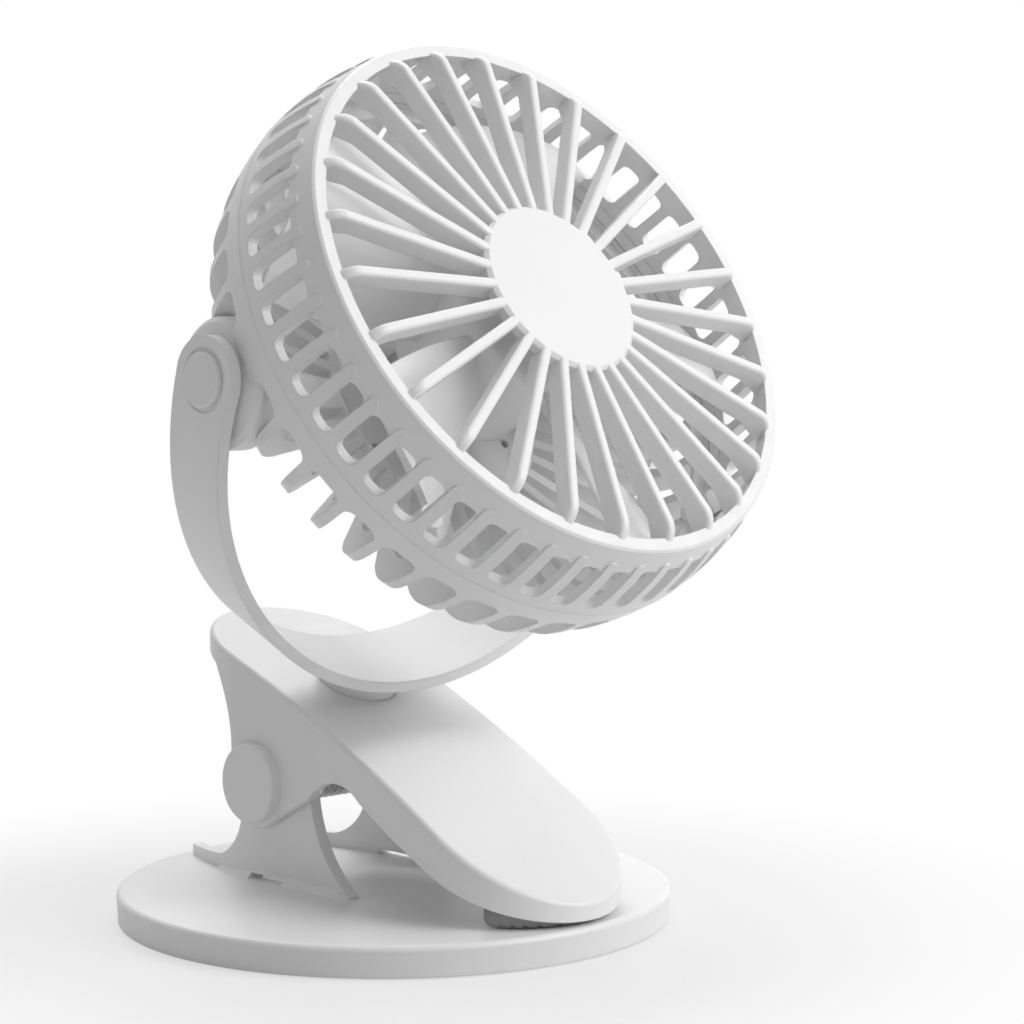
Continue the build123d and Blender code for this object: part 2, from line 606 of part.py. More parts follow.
def clip_jaw():
    plan = extrude(stadium(JAW_HALF_WIDTH, JAW_FRONT_Y, JAW_REAR_Y), amount=FAR)
    body = across(side_face(jaw_side()), JAW_HALF_WIDTH + OVER) & plan
    body = fillet(body.edges().filter_by(lambda e: on_plate_rim(e)), JAW_EDGE_ROUND)
    body = body - jaw_hollow(0)
    boss = rod(JAW_BOSS_RADIUS, JAW_HALF_WIDTH - JAW_WALL, JAW_HALF_WIDTH + JAW_BOSS_HEIGHT)
    boss = fillet(boss.edges().group_by(Axis.Z)[-1], JAW_BOSS_ROUND)
    bore_end = JAW_HALF_WIDTH + JAW_BOSS_HEIGHT - JAW_BOSS_FLOOR
    body = body + CLIP_PIVOT * boss + CLIP_PIVOT * Rot(0, 180, 0) * boss
    body = body - CLIP_PIVOT * rod(CLIP_PIN_RADIUS + RUNNING, -bore_end, bore_end)
    seat = SWIVEL * rod(SWIVEL_COLLAR_RADIUS + GAP, -SWIVEL_SEAT_DEPTH, SWIVEL_COLLAR_HEIGHT)
    hole = SWIVEL * rod(SWIVEL_STEM_RADIUS + RUNNING, -4 * JAW_WALL, SWIVEL_COLLAR_HEIGHT)
    return body - seat - hole


def on_plate_rim(edge):
    """True for an edge that lies on the plate's arched upper face."""
    middle = edge @ 0.5
    return abs(middle.Z - crown_height(middle.Y)) < SAME


def jaw_pad():
    """Soft pad under the jaw's tip: its foot nearly meets the disc when the clip is shut."""
    low = BASE_TOP + GAP
    plan = stadium(JAW_HALF_WIDTH - JAW_WALL - SEAT, JAW_FRONT_Y + JAW_WALL + SEAT, JAW_REAR_Y)
    plan = plan & Pos(0, PAD_REAR_Y - JAW_HALF_WIDTH) * Rectangle(4 * JAW_HALF_WIDTH, 2 * JAW_HALF_WIDTH)
    block = Pos(0, 0, low) * extrude(plan, amount=FAR)
    rear_corners = block.edges().filter_by(Axis.Z).group_by(Axis.Y)[-1]
    return fillet(rear_corners, PAD_CORNER) & jaw_hollow(SEAT)


def make_jaw():
    keep("clip_jaw", clip_jaw())
    keep("jaw_pad", jaw_pad())


# ---- bracket -------------------------------------------------------------------------
def u_strip():
    """Front view of the U made deep: a half ring with straight arms above."""
    arms = Pos(0, STRAP_RADIUS / 2 - STRAP_DROP)
    low = Pos(0, -STRAP_DROP)
    outer = low * Circle(STRAP_RADIUS) + arms * Rectangle(2 * STRAP_RADIUS, STRAP_RADIUS)
    inner = low * Circle(STRAP_INNER) + arms * Rectangle(2 * STRAP_INNER, STRAP_RADIUS + OVER)
    return across(Plane.XZ * (outer - inner), STRAP_RADIUS)


def u_bracket():
    """A flat strip bent into a U, wider at its foot, with round ears on the tilt axis."""
    ear = STRAP_EAR_RADIUS
    foot = -STRAP_DROP - STRAP_RADIUS - OVER
    front = -STRAP_FOOT_SHIFT - STRAP_FOOT_HALF_WIDTH
    rear = -STRAP_FOOT_SHIFT + STRAP_FOOT_HALF_WIDTH
    side = side_face([
        ThreePointArc((-ear, 0), (0, ear), (ear, 0)),
        ThreePointArc((ear, 0), ((ear + rear) / 2 + STRAP_REAR_CURVE, foot / 2), (rear, foot)),
        Line((rear, foot), (front, foot)),
        ThreePointArc((front, foot), ((front - ear) / 2 + STRAP_FRONT_CURVE, foot / 2), (-ear, 0)),
    ])
    strap = u_strip() & across(side, STRAP_RADIUS + OVER)
    strap = BRACKET * strap
    for turn in (0, 180):
        outward = TILT_AXIS * Rot(0, turn, 0)
        recess = rod(PIVOT_SPIGOT_RADIUS + SEAT, STRAP_RADIUS - PIVOT_SPIGOT_DEPTH, STRAP_RADIUS + OVER)
        groove = rod(PIVOT_GROOVE_RADIUS, STRAP_RADIUS - PIVOT_GROOVE_DEPTH, STRAP_RADIUS + OVER)
        strap = strap - outward * recess - outward * groove
        strap = strap - outward * rod(PIVOT_BOLT_RADIUS + RUNNING, 0, STRAP_RADIUS + OVER)
        strap = strap - outward * rod(PIVOT_WASHER_RADIUS + GAP, 0, STRAP_INNER)
    screw_top = SWIVEL_COLLAR_HEIGHT + SWIVEL_SCREW_BITE + GAP
    return strap - SWIVEL * rod(SWIVEL_SCREW_RADIUS + SEAT, 0, screw_top)


def washer_level():
    """Top of the swivel washer, measured up the swivel axis from the plate."""
    return -JAW_WALL - SWIVEL_WASHER_DROP


def swivel_post():
    """Collar between plate and strap, hollowed above to fit the strap's curve."""
    collar = rod(SWIVEL_COLLAR_RADIUS, -SWIVEL_SEAT_DEPTH + 3 * GAP, SWIVEL_COLLAR_HEIGHT + 2 * STRAP_DROP)
    stem = rod(SWIVEL_STEM_RADIUS, washer_level() + SEAT, 0)
    bore = rod(SWIVEL_SCREW_RADIUS + SEAT, washer_level() - OVER, FAR)
    post = SWIVEL * (collar + stem - bore)
    round_the_strap = Rot(90, 0, 0) * Cylinder(STRAP_RADIUS + SEAT, STRAP_RADIUS)
    return post - BRACKET * Pos(0, 0, -STRAP_DROP) * round_the_strap


def make_bracket():
    keep("u_bracket", u_bracket())
    keep("swivel_post", swivel_post())
    top = washer_level()
    low = top - SWIVEL_WASHER_THICK
    keep("swivel_washer", SWIVEL * tube(SWIVEL_WASHER_RADIUS, SWIVEL_SCREW_RADIUS + SEAT, low, top))
    head = low - SEAT - SWIVEL_SCREW_HEAD_THICK
    length = SWIVEL_COLLAR_HEIGHT + SWIVEL_SCREW_BITE - low + SEAT
    screw = screw_along(SWIVEL_SCREW_RADIUS, SWIVEL_SCREW_HEAD_RADIUS, SWIVEL_SCREW_HEAD_THICK, length)
    keep("swivel_screw", SWIVEL * Pos(0, 0, head) * screw)
    cap_low = STRAP_RADIUS - PIVOT_GROOVE_DEPTH + SEAT
    cap = rod(PIVOT_CAP_RADIUS, cap_low, STRAP_RADIUS + PIVOT_CAP_HEIGHT)
    cap = fillet(cap.edges().group_by(Axis.Z)[-1], PIVOT_CAP_ROUND)
    spigot_inner = PIVOT_SPIGOT_RADIUS - PIVOT_SPIGOT_WALL
    spigot_low = STRAP_RADIUS - PIVOT_SPIGOT_DEPTH + GAP
    cap = cap + tube(PIVOT_SPIGOT_RADIUS, spigot_inner, spigot_low, cap_low + SEAT)
    washer_low = EAR_TIP_X + RUNNING
    washer = tube(PIVOT_WASHER_RADIUS, PIVOT_BOLT_RADIUS + RUNNING, washer_low,
                  washer_low + PIVOT_WASHER_THICK)
    for side, turn in (("left", 180), ("right", 0)):
        outward = TILT_AXIS * Rot(0, turn, 0)
        keep(f"pivot_cap_{side}", outward * cap)
        keep(f"friction_washer_{side}", outward * washer)


# ---- head ----------------------------------------------------------------------------
def barrel_radius(depth):
    """Outside radius of the barrel at a distance ahead of the tilt axis."""
    bulge = BARREL_FRONT_BULGE if depth > BARREL_WIDEST_DEPTH else BARREL_REAR_BULGE
    return BARREL_RADIUS - bulge + sqrt(bulge ** 2 - (depth - BARREL_WIDEST_DEPTH) ** 2)


def barrel_arc(start, end, inward=0.0):
    """Stretch of the barrel's profile between two depths, that far inside its surface."""
    middle = (start + end) / 2
    return ThreePointArc((barrel_radius(start) - inward, start), (barrel_radius(middle) - inward, middle),
                         (barrel_radius(end) - inward, end))


def barrel_layer(inward, rear, front):
    """A thin skin of the barrel from its surface to a depth below it."""
    return round_solid([
        barrel_arc(rear, front),
        Line((barrel_radius(front), front), (barrel_radius(front) - inward, front)),
        barrel_arc(front, rear, inward),
        Line((barrel_radius(rear) - inward, rear), (barrel_radius(rear), rear)),
    ])


def grille_wall():
    rear = PART_DEPTH + PART_GAP
    band = (barrel_radius(BAND_START) - BAND_STEP, BAND_START)
    return round_solid([
        barrel_arc(rear, BAND_START),
        Line((barrel_radius(BAND_START), BAND_START), band),
        Line(band, (RING_RADIUS, RING_DEPTH - RING_ROUND)),
        Line((RING_RADIUS, RING_DEPTH - RING_ROUND), (RING_RADIUS - RING_ROUND, RING_DEPTH)),
        Line((RING_RADIUS - RING_ROUND, RING_DEPTH), (RING_INNER, RING_DEPTH)),
        Line((RING_INNER, RING_DEPTH), (barrel_radius(SLOT_FRONT) - HEAD_WALL, SLOT_FRONT)),
        barrel_arc(SLOT_FRONT, rear, HEAD_WALL),
        Line((barrel_radius(rear) - HEAD_WALL, rear), (barrel_radius(rear), rear)),
    ])


def lip(inward):
    """Spigot ring that hides the joint between the two shells."""
    low, high = PART_DEPTH - LIP_LENGTH, PART_DEPTH + PART_GAP + MERGE
    outer = barrel_radius(low) - HEAD_WALL + LIP_THICK - inward
    return tube(outer, outer - LIP_THICK, low, high)


def slot_cut():
    """One side opening, as a rounded prism along the radius."""
    face = RectangleRounded(SLOT_FRONT - SLOT_REAR, SLOT_WIDTH, SLOT_CORNER)
    prism = Rot(0, 90, 0) * extrude(face, amount=BARREL_RADIUS)
    return Pos(BARREL_RADIUS / 2, 0, (SLOT_FRONT + SLOT_REAR) / 2) * prism


def bar_tab():
    """Rounded end of one bar, standing on the front band."""
    width = 2 * pi * barrel_radius(SLOT_FRONT) / SLOT_COUNT - SLOT_WIDTH
    rear = BAND_START - MERGE
    front = SLOT_FRONT + TAB_LENGTH
    straight = front - width / 2 - rear
    outline = Rectangle(straight, width) + Pos(-straight / 2, 0) * Circle(width / 2)
    prism = Rot(0, 90, 0) * extrude(outline, amount=BARREL_RADIUS)
    prism = Pos(BARREL_RADIUS / 2, 0, rear + straight / 2) * prism
    return prism & barrel_layer(HEAD_WALL / 2, rear, front)


def grille_rib():
    """One radial blade with a rounded front edge that turns down into the rim."""
    root = HUB_DISC_RADIUS - 2 * MERGE
    shoulder = (RIB_SHOULDER_RADIUS, RIB_SHOULDER_DEPTH)
    low_shoulder = (RIB_SHOULDER_RADIUS - RIB_SHOULDER_ROUND, RIB_SHOULDER_DEPTH - RIB_DEPTH)
    end_top = (RING_INNER + 2 * MERGE, RING_DEPTH - 2 * MERGE)
    end_low = (end_top[0] + MERGE / 2, RING_DEPTH - RIB_DEPTH)
    corner = (RING_INNER - RIB_CORNER_INSET[0], RIB_SHOULDER_DEPTH - RIB_CORNER_INSET[1])
    face = Plane.XZ * make_face([
        Line((root, HUB_DISC_DEPTH - SEAT), shoulder),
        ThreePointArc(shoulder, corner, end_top),
        Line(end_top, end_low),
        Line(end_low, low_shoulder),
        Line(low_shoulder, (root, HUB_DISC_DEPTH - RIB_DEPTH)),
        Line((root, HUB_DISC_DEPTH - RIB_DEPTH), (root, HUB_DISC_DEPTH - SEAT)),
    ])
    rib = across(face, RIB_THICK / 2)
    long_edges = rib.edges().filter_by(lambda e: on_rib_front(e))
    return fillet(long_edges, RIB_ROUND)


def on_rib_front(edge):
    """True for the long side edges of a rib's front and shoulder."""
    middle = edge @ 0.5
    on_side = abs(abs(middle.Y) - RIB_THICK / 2) < SAME
    return on_side and edge.length > RIB_THICK and middle.Z > RING_DEPTH + 2 * GAP


def hub_disc():
    edge = HUB_DISC_ROUND
    low = HUB_DISC_DEPTH - HUB_DISC_THICK
    return round_solid([
        ThreePointArc((0, HUB_DISC_DEPTH + HUB_DISC_CROWN),
                      (HUB_DISC_RADIUS / 2, HUB_DISC_DEPTH + HUB_DISC_CROWN * 0.75),
                      (HUB_DISC_RADIUS - edge, HUB_DISC_DEPTH)),
        Line((HUB_DISC_RADIUS - edge, HUB_DISC_DEPTH), (HUB_DISC_RADIUS, HUB_DISC_DEPTH - edge)),
        Line((HUB_DISC_RADIUS, HUB_DISC_DEPTH - edge), (HUB_DISC_RADIUS, low)),
        Line((HUB_DISC_RADIUS, low), (0, low)),
        Line((0, low), (0, HUB_DISC_DEPTH + HUB_DISC_CROWN)),
    ])


def screw_places(solid):
    """The same solid at each screw that joins the two shells."""
    return ring_of(Pos(GRILLE_SCREW_CIRCLE, 0) * solid, GRILLE_SCREW_COUNT, 45)


def front_grille():
    post_room = rod(GRILLE_POST_RADIUS + GAP, 0, PART_DEPTH + PART_GAP)
    wall = grille_wall() + (lip(GAP) - screw_places(post_room))
    wall = wall - ring_of(slot_cut(), SLOT_COUNT, SLOT_PHASE)
    wall = wall + ring_of(bar_tab(), SLOT_COUNT, SLOT_PHASE + 180 / SLOT_COUNT)
    post_rear = PART_DEPTH + PART_GAP
    post = rod(GRILLE_POST_RADIUS, post_rear, post_rear + GRILLE_POST_DEPTH)
    bore = rod(GRILLE_SCREW_RADIUS + SEAT, 0, post_rear + GRILLE_POST_DEPTH - SCREW_DRIVE_DEPTH)
    wall = wall + screw_places(post) - screw_places(bore)
    return wall + hub_disc() + ring_of(grille_rib(), RIB_COUNT, RIB_PHASE)


def rear_profile(inward):
    """Outline of the rear shell's outside, or of a surface that far inside it."""
    start = PART_DEPTH
    edge = REAR_EDGE_DEPTH + inward * REAR_EDGE_INWARD
    turn = (REAR_TURN_RADIUS - inward * REAR_TURN_INWARD[0],
            REAR_TURN_DEPTH + inward * REAR_TURN_INWARD[1])
    shoulder = (REAR_SHOULDER_RADIUS - inward * REAR_SHOULDER_INWARD, REAR_SHOULDER_DEPTH + inward)
    return [
        barrel_arc(start, edge, inward),
        ThreePointArc((barrel_radius(edge) - inward, edge), turn, shoulder),
        Line(shoulder, (REAR_PLATE_RADIUS, REAR_PLATE_DEPTH + inward)),
    ]


def rear_filled(inward, front):
    """Everything inside the rear shell's surface, up to a depth in front."""
    plate = REAR_PLATE_DEPTH + inward
    top = barrel_radius(PART_DEPTH) - inward
    filled = round_solid(rear_profile(inward) + [
        Line((REAR_PLATE_RADIUS, plate), (0, plate)),
        Line((0, plate), (0, PART_DEPTH)),
        Line((0, PART_DEPTH), (top, PART_DEPTH)),
    ])
    if front > PART_DEPTH:
        filled = filled + rod(top, PART_DEPTH - MERGE, front)
    return filled


def petal_cut():
    """One rear opening: a wedge between two parallel-sided bars, with rounded front corners."""
    half_pitch = radians(180 / PETAL_COUNT)
    inner, outer = REAR_PLATE_RADIUS, BARREL_RADIUS
    inner_half = inner * sin(half_pitch) - PETAL_BAR_THICK / 2
    outer_half = outer * sin(half_pitch) - PETAL_BAR_THICK / 2
    low = REAR_PLATE_DEPTH - OVER
    length = PETAL_FRONT - low
    plan = make_face(polygon((inner, -inner_half), (outer, -outer_half),
                             (outer, outer_half), (inner, inner_half)))
    window = RectangleRounded(2 * length, 2 * outer_half, PETAL_CORNER)
    wedge = extrude(plan, amount=length) & Rot(0, 90, 0) * extrude(window, amount=FAR)
    return Pos(0, 0, low) * wedge


def petal_angles():
    """Middle of each rear opening, leaving out those at the ears."""
    angles = [PETAL_PHASE + 360 * i / PETAL_COUNT for i in range(PETAL_COUNT)]
    return [a for a in angles if abs(sin(radians(a))) > sin(radians(EAR_HALF_ANGLE))]


def ear_boss():
    """Round boss at the tilt axis on the +X side, run in past the shell's wall."""
    rim = [(EAR_TIP_X - inset, radius) for inset, radius in EAR_PROFILE]
    face = make_face(polygon((rim[0][0], 0), *rim, (EAR_TIP_X, 0)))
    return Pos(0, 0, -EAR_SHIFT) * revolve(face, Axis.X)


def rear_shell():
    shell = rear_filled(0, PART_DEPTH)
    room = rear_filled(PETAL_BAR_DEPTH, BARREL_RADIUS)
    shell = shell - room
    band = rod(barrel_radius(PETAL_FRONT) - HEAD_WALL, PETAL_FRONT + OVER, BARREL_RADIUS)
    shell = shell - band - rod(REAR_PLATE_RADIUS - OVER, REAR_PLATE_INSIDE, BARREL_RADIUS)
    seat_low = PART_DEPTH - LIP_LENGTH - GAP
    seat = barrel_radius(PART_DEPTH - LIP_LENGTH) - HEAD_WALL + LIP_THICK
    shell = shell - rod(seat, seat_low, BARREL_RADIUS)
    shell = shell - [Rot(0, 0, angle) * petal_cut() for angle in petal_angles()]
    boss = ear_boss() - room
    shell = shell + boss + mirror(boss, Plane.YZ)
    post_low = PART_DEPTH - GRILLE_POST_DEPTH
    head_seat = post_low + GRILLE_SCREW_HEAD_THICK + SEAT
    shell = shell + screw_places(rod(GRILLE_POST_RADIUS, post_low, PART_DEPTH))
    shell = shell - screw_places(rod(GRILLE_SCREW_HEAD_RADIUS + GAP, post_low - OVER, head_seat))
    shell = shell - screw_places(rod(GRILLE_SCREW_RADIUS + RUNNING, post_low, PART_DEPTH + OVER))
    for turn in (0, 180):
        bolt_tip = STRAP_RADIUS - PIVOT_SPIGOT_DEPTH - PIVOT_BOLT_LENGTH - GAP
        bore = rod(PIVOT_BOLT_RADIUS + SEAT, bolt_tip, FAR)
        shell = shell - Rot(0, 90 + turn, 0) * bore
    shell = shell - ring_of(Pos(MOTOR_SCREW_CIRCLE, 0) * rod(MOTOR_SCREW_RADIUS + RUNNING, -FAR, 0), 2)
    wire_hole = Pos(0, MOTOR_SCREW_CIRCLE) * rod(MOTOR_SCREW_RADIUS, -FAR, 0)
    return shell - wire_hole - dome_screws_at(rod(DOME_SCREW_RADIUS + SEAT, -FAR, 0))


def make_head():
    keep("front_grille", HEAD * front_grille())
    keep("rear_shell", HEAD * rear_shell())
    length = GRILLE_POST_DEPTH - GRILLE_SCREW_HEAD_THICK + PART_GAP + GRILLE_SCREW_BITE
    screw = screw_along(GRILLE_SCREW_RADIUS, GRILLE_SCREW_HEAD_RADIUS, GRILLE_SCREW_HEAD_THICK, length)
    low = PART_DEPTH - GRILLE_POST_DEPTH
    keep("grille_screws", HEAD * group(screw_places(Pos(0, 0, low) * screw)))
    head_low = STRAP_RADIUS - PIVOT_SPIGOT_DEPTH + RUNNING
    bolt = rod(PIVOT_BOLT_HEAD_RADIUS, head_low, head_low + PIVOT_BOLT_HEAD_THICK)
    bolt = bolt + rod(PIVOT_BOLT_RADIUS, head_low - PIVOT_BOLT_LENGTH, head_low)
    for side, turn in (("left", 180), ("right", 0)):
        keep(f"pivot_bolt_{side}", TILT_AXIS * Rot(0, turn, 0) * bolt)


# ---- motor and fan wheel -------------------------------------------------------------
def blade_section(radius, chord, pitch):
    """Curved blade section in the plane square to the radius, leading edge to the rear."""
    camber = BLADE_CAMBER * chord
    half = chord / 2
    edge = BLADE_EDGE / 2
    swell = BLADE_THICK / 2
    outline = make_face([
        ThreePointArc((-half, edge), (0, camber + swell), (half, edge)),
        Line((half, edge), (half, -edge)),
        ThreePointArc((half, -edge), (0, camber - swell), (-half, -edge)),
        Line((-half, -edge), (-half, edge)),
    ])
    plane = Plane(origin=(radius, 0, BLADE_MIDDLE_DEPTH), x_dir=(0, 1, 0), z_dir=(1, 0, 0))
    return plane * Rot(0, 0, -pitch) * outline


def blade():
    mean_radius = (WHEEL_HUB_RADIUS + WHEEL_TIP_RADIUS) / 2
    solid = loft([
        blade_section(WHEEL_HUB_RADIUS - WHEEL_HUB_WALL, BLADE_ROOT_CHORD, BLADE_ROOT_PITCH),
        blade_section(mean_radius, BLADE_MEAN_CHORD, BLADE_MEAN_PITCH),
        blade_section(WHEEL_TIP_RADIUS + OVER, BLADE_TIP_CHORD, BLADE_TIP_PITCH),
    ])
    return solid & tube(WHEEL_TIP_RADIUS, WHEEL_HUB_RADIUS - WHEEL_HUB_WALL / 2, -FAR, FAR)


def wheel():
    hub = rod(WHEEL_HUB_RADIUS, WHEEL_HUB_REAR, WHEEL_HUB_FRONT)
    hub = fillet(hub.edges().group_by(Axis.Z)[-1], WHEEL_HUB_ROUND)
    room_front = WHEEL_HUB_FRONT - WHEEL_HUB_WALL
    hub = hub - rod(WHEEL_HUB_RADIUS - WHEEL_HUB_WALL, WHEEL_HUB_REAR - OVER, room_front)
    boss_low = MOTOR_FRONT + OVER
    hub = hub + rod(WHEEL_BOSS_RADIUS, boss_low, WHEEL_HUB_FRONT - WHEEL_HUB_WALL / 2)
    hub = hub + ring_of(blade(), BLADE_COUNT)
    return hub - rod(MOTOR_SHAFT_RADIUS + SEAT, 0, MOTOR_FRONT + MOTOR_SHAFT_REACH + GAP)


def make_motor():
    keep("impeller", HEAD * wheel())
    rear = REAR_PLATE_INSIDE + SEAT
    cap_top = rear + MOTOR_CAP_THICK
    inner = MOTOR_RADIUS - MOTOR_WALL
    can = rod(MOTOR_RADIUS, cap_top + SEAT, MOTOR_FRONT)
    can = can - rod(inner, rear, MOTOR_FRONT - MOTOR_WALL) - rod(MOTOR_BUSHING_RADIUS + SEAT, rear, FAR)
    keep("motor_can", HEAD * can)
    cap = rod(MOTOR_RADIUS, rear, cap_top) - rod(MOTOR_SHAFT_RADIUS + RUNNING, rear + MOTOR_WALL, FAR)
    cap = cap - ring_of(Pos(MOTOR_SCREW_CIRCLE, 0) * rod(MOTOR_SCREW_RADIUS + SEAT, rear - OVER, FAR), 2)
    keep("motor_end_cap", HEAD * cap)
    bushing_low = MOTOR_FRONT - MOTOR_BUSHING_LENGTH + MOTOR_WALL
    bushing_high = MOTOR_FRONT + MOTOR_WALL / 2
    bushing = tube(MOTOR_BUSHING_RADIUS, MOTOR_SHAFT_RADIUS + RUNNING, bushing_low, bushing_high)
    keep("motor_bushing", HEAD * bushing)
    rotor_high = bushing_low - OVER
    rotor_low = rotor_high - MOTOR_ROTOR_LENGTH
    magnet_inner = inner - SEAT - MOTOR_MAGNET_THICK
    keep("motor_magnet", HEAD * tube(inner - SEAT, magnet_inner, rotor_low, rotor_high))
    rotor_radius = magnet_inner - MOTOR_AIR_GAP
    keep("motor_rotor", HEAD * tube(rotor_radius, MOTOR_SHAFT_RADIUS + SEAT, rotor_low, rotor_high))
    shaft_low = rear + MOTOR_WALL + RUNNING
    keep("motor_shaft", HEAD * rod(MOTOR_SHAFT_RADIUS, shaft_low, MOTOR_FRONT + MOTOR_SHAFT_REACH))
    length = HEAD_WALL + SEAT + MOTOR_CAP_THICK - GAP
    screw = screw_along(MOTOR_SCREW_RADIUS, MOTOR_SCREW_HEAD_RADIUS, MOTOR_SCREW_HEAD_THICK, length)
    head = REAR_PLATE_DEPTH - SEAT - MOTOR_SCREW_HEAD_THICK
    keep("motor_screws", HEAD * group(ring_of(Pos(MOTOR_SCREW_CIRCLE, 0, head) * screw, 2)))


# ---- battery and switch room ---------------------------------------------------------
def dome_screws_at(solid):
    return ring_of(Pos(DOME_SCREW_CIRCLE, 0) * solid, DOME_SCREW_COUNT, DOME_SCREW_PHASE)


def dome_filled(inward):
    """The dome's outside, or the room that far inside it, down to the rear plate."""
    radius = REAR_PLATE_RADIUS - inward
    back = DOME_DEPTH + inward
    turn = DOME_SHOULDER - inward
    flat = radius - turn
    soft = turn * (1 - sqrt(0.5))
    front = REAR_PLATE_DEPTH - SEAT + (OVER if inward else 0)
    return round_solid([
        Line((0, front), (radius, front)),
        Line((radius, front), (radius, back + turn)),
        ThreePointArc((radius, back + turn), (radius - soft, back + soft), (flat, back)),
        Line((flat, back), (0, back)),
        Line((0, back), (0, front)),
    ])


def port_block(grow, low, high):
    """A round-ended prism of the socket's size, grown all round."""
    face = Pos(0, PORT_Y) * SlotOverall(PORT_WIDTH + 2 * grow, PORT_HEIGHT + 2 * grow)
    return Pos(0, 0, low) * extrude(face, amount=high - low)


def rear_dome():
    dome = dome_filled(0) - dome_filled(DOME_WALL)
    dome = dome + dome_screws_at(rod(DOME_POST_RADIUS, DOME_DEPTH, REAR_PLATE_DEPTH - SEAT))
    dome = dome & dome_filled(0)
    seat = screw_head_level() + DOME_SCREW_HEAD_THICK + SEAT
    dome = dome - dome_screws_at(rod(DOME_SCREW_HEAD_RADIUS + GAP, -FAR, seat))
    dome = dome - dome_screws_at(rod(DOME_SCREW_RADIUS + RUNNING, -FAR, 0))
    dome = dome - Pos(0, BUTTON_Y) * rod(BUTTON_RADIUS + GAP, -FAR, DOME_FLOOR + OVER)
    dome = dome - Pos(LENS_X, 0) * rod(LENS_RADIUS + SEAT, -FAR, DOME_FLOOR + OVER)
    return dome - port_block(PORT_SLEEVE, -FAR, DOME_FLOOR + OVER)


def screw_head_level():
    """Outer face of the dome screws' heads, sunk in their posts."""
    return DOME_DEPTH + DOME_WALL


def power_button():
    """Push button whose flange stays behind the dome's wall."""
    cap = rod(BUTTON_RADIUS, DOME_DEPTH - BUTTON_PROUD, DOME_FLOOR + 2 * GAP)
    cap = fillet(cap.edges().group_by(Axis.Z)[0], BUTTON_ROUND)
    flange_low = DOME_FLOOR + GAP
    flange = rod(BUTTON_RADIUS + BUTTON_FLANGE, flange_low, SWITCH_BACK - BUTTON_TRAVEL - GAP / 2)
    return Pos(0, BUTTON_Y) * (cap + flange)


def make_dome():
    keep("rear_dome", HEAD * rear_dome())
    keep("power_button", HEAD * power_button())
    length = REAR_PLATE_DEPTH + HEAD_WALL / 2 - screw_head_level() - DOME_SCREW_HEAD_THICK
    screw = screw_along(DOME_SCREW_RADIUS, DOME_SCREW_HEAD_RADIUS, DOME_SCREW_HEAD_THICK, length)
    keep("dome_screws", HEAD * group(dome_screws_at(Pos(0, 0, screw_head_level()) * screw)))
    block = Pos(0, 0, BOARD_BACK) * extrude(Rectangle(BOARD_WIDTH, BOARD_HEIGHT), amount=BOARD_THICK)
    keep("control_board", HEAD * block)
    switch = extrude(Rectangle(SWITCH_SIZE, SWITCH_SIZE), amount=SWITCH_HEIGHT - SEAT)
    keep("switch_body", HEAD * Pos(0, BUTTON_Y, SWITCH_BACK) * switch)
    cell = extrude(RectangleRounded(BATTERY_WIDTH, BATTERY_HEIGHT, BATTERY_ROUND), amount=BATTERY_THICK)
    keep("battery_cell", HEAD * Pos(0, 0, BATTERY_BACK) * cell)
    port = port_block(0, DOME_DEPTH + DOME_WALL / 4, BOARD_BACK - SEAT)
    port = port - port_block(-PORT_WALL, DOME_DEPTH - OVER, BOARD_BACK - 2 * PORT_WALL)
    keep("charging_port", HEAD * port)
    lens = rod(LENS_RADIUS, DOME_DEPTH + SEAT, DOME_FLOOR + LENS_FLANGE)
    keep("indicator_lens", HEAD * Pos(LENS_X, 0) * lens)


make_base()
make_jaw()
make_bracket()
make_head()
make_motor()
make_dome()
os.makedirs("parts", exist_ok=True)
for node, solid in PARTS.items():
    export_step(solid, f"parts/{node}.step")
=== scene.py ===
import bmesh
import bpy
from math import cos, pi, radians, sin, sqrt
from mathutils import Matrix, Vector


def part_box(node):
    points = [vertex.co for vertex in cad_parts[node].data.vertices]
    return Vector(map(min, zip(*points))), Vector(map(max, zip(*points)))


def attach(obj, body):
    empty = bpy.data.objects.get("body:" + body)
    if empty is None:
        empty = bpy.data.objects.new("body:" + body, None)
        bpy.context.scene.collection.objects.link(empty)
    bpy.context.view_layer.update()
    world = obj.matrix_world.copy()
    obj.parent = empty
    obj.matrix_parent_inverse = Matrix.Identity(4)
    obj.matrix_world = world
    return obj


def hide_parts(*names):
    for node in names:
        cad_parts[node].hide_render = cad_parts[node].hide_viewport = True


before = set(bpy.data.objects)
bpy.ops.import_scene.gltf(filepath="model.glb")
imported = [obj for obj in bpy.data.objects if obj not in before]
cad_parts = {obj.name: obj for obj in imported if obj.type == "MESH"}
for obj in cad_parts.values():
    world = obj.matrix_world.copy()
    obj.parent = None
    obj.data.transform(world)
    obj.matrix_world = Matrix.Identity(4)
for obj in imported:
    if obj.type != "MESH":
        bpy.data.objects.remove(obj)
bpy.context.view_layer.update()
scene = bpy.context.scene
mm = 0.001

# ---- Camera --------------------------------------------------------------------------
# A long lens near table height looks at the fan from its front left corner, as in the
# photograph: 3.4 degrees above level and halfway between the front and the left side.
lens_place = Vector((-348.39, -384.55, 118.07)) * mm
lens_aim = Vector((0.7059, 0.7059, -0.0590))
film_width = 36.0
lens_length = 84.375
camera_data = bpy.data.cameras.new("camera")
camera_data.sensor_width = film_width
camera_data.lens = lens_length
camera = bpy.data.objects.new("camera", camera_data)
camera.location = lens_place
camera.rotation_euler = lens_aim.to_track_quat("-Z", "Y").to_euler()
scene.collection.objects.link(camera)
scene.camera = camera

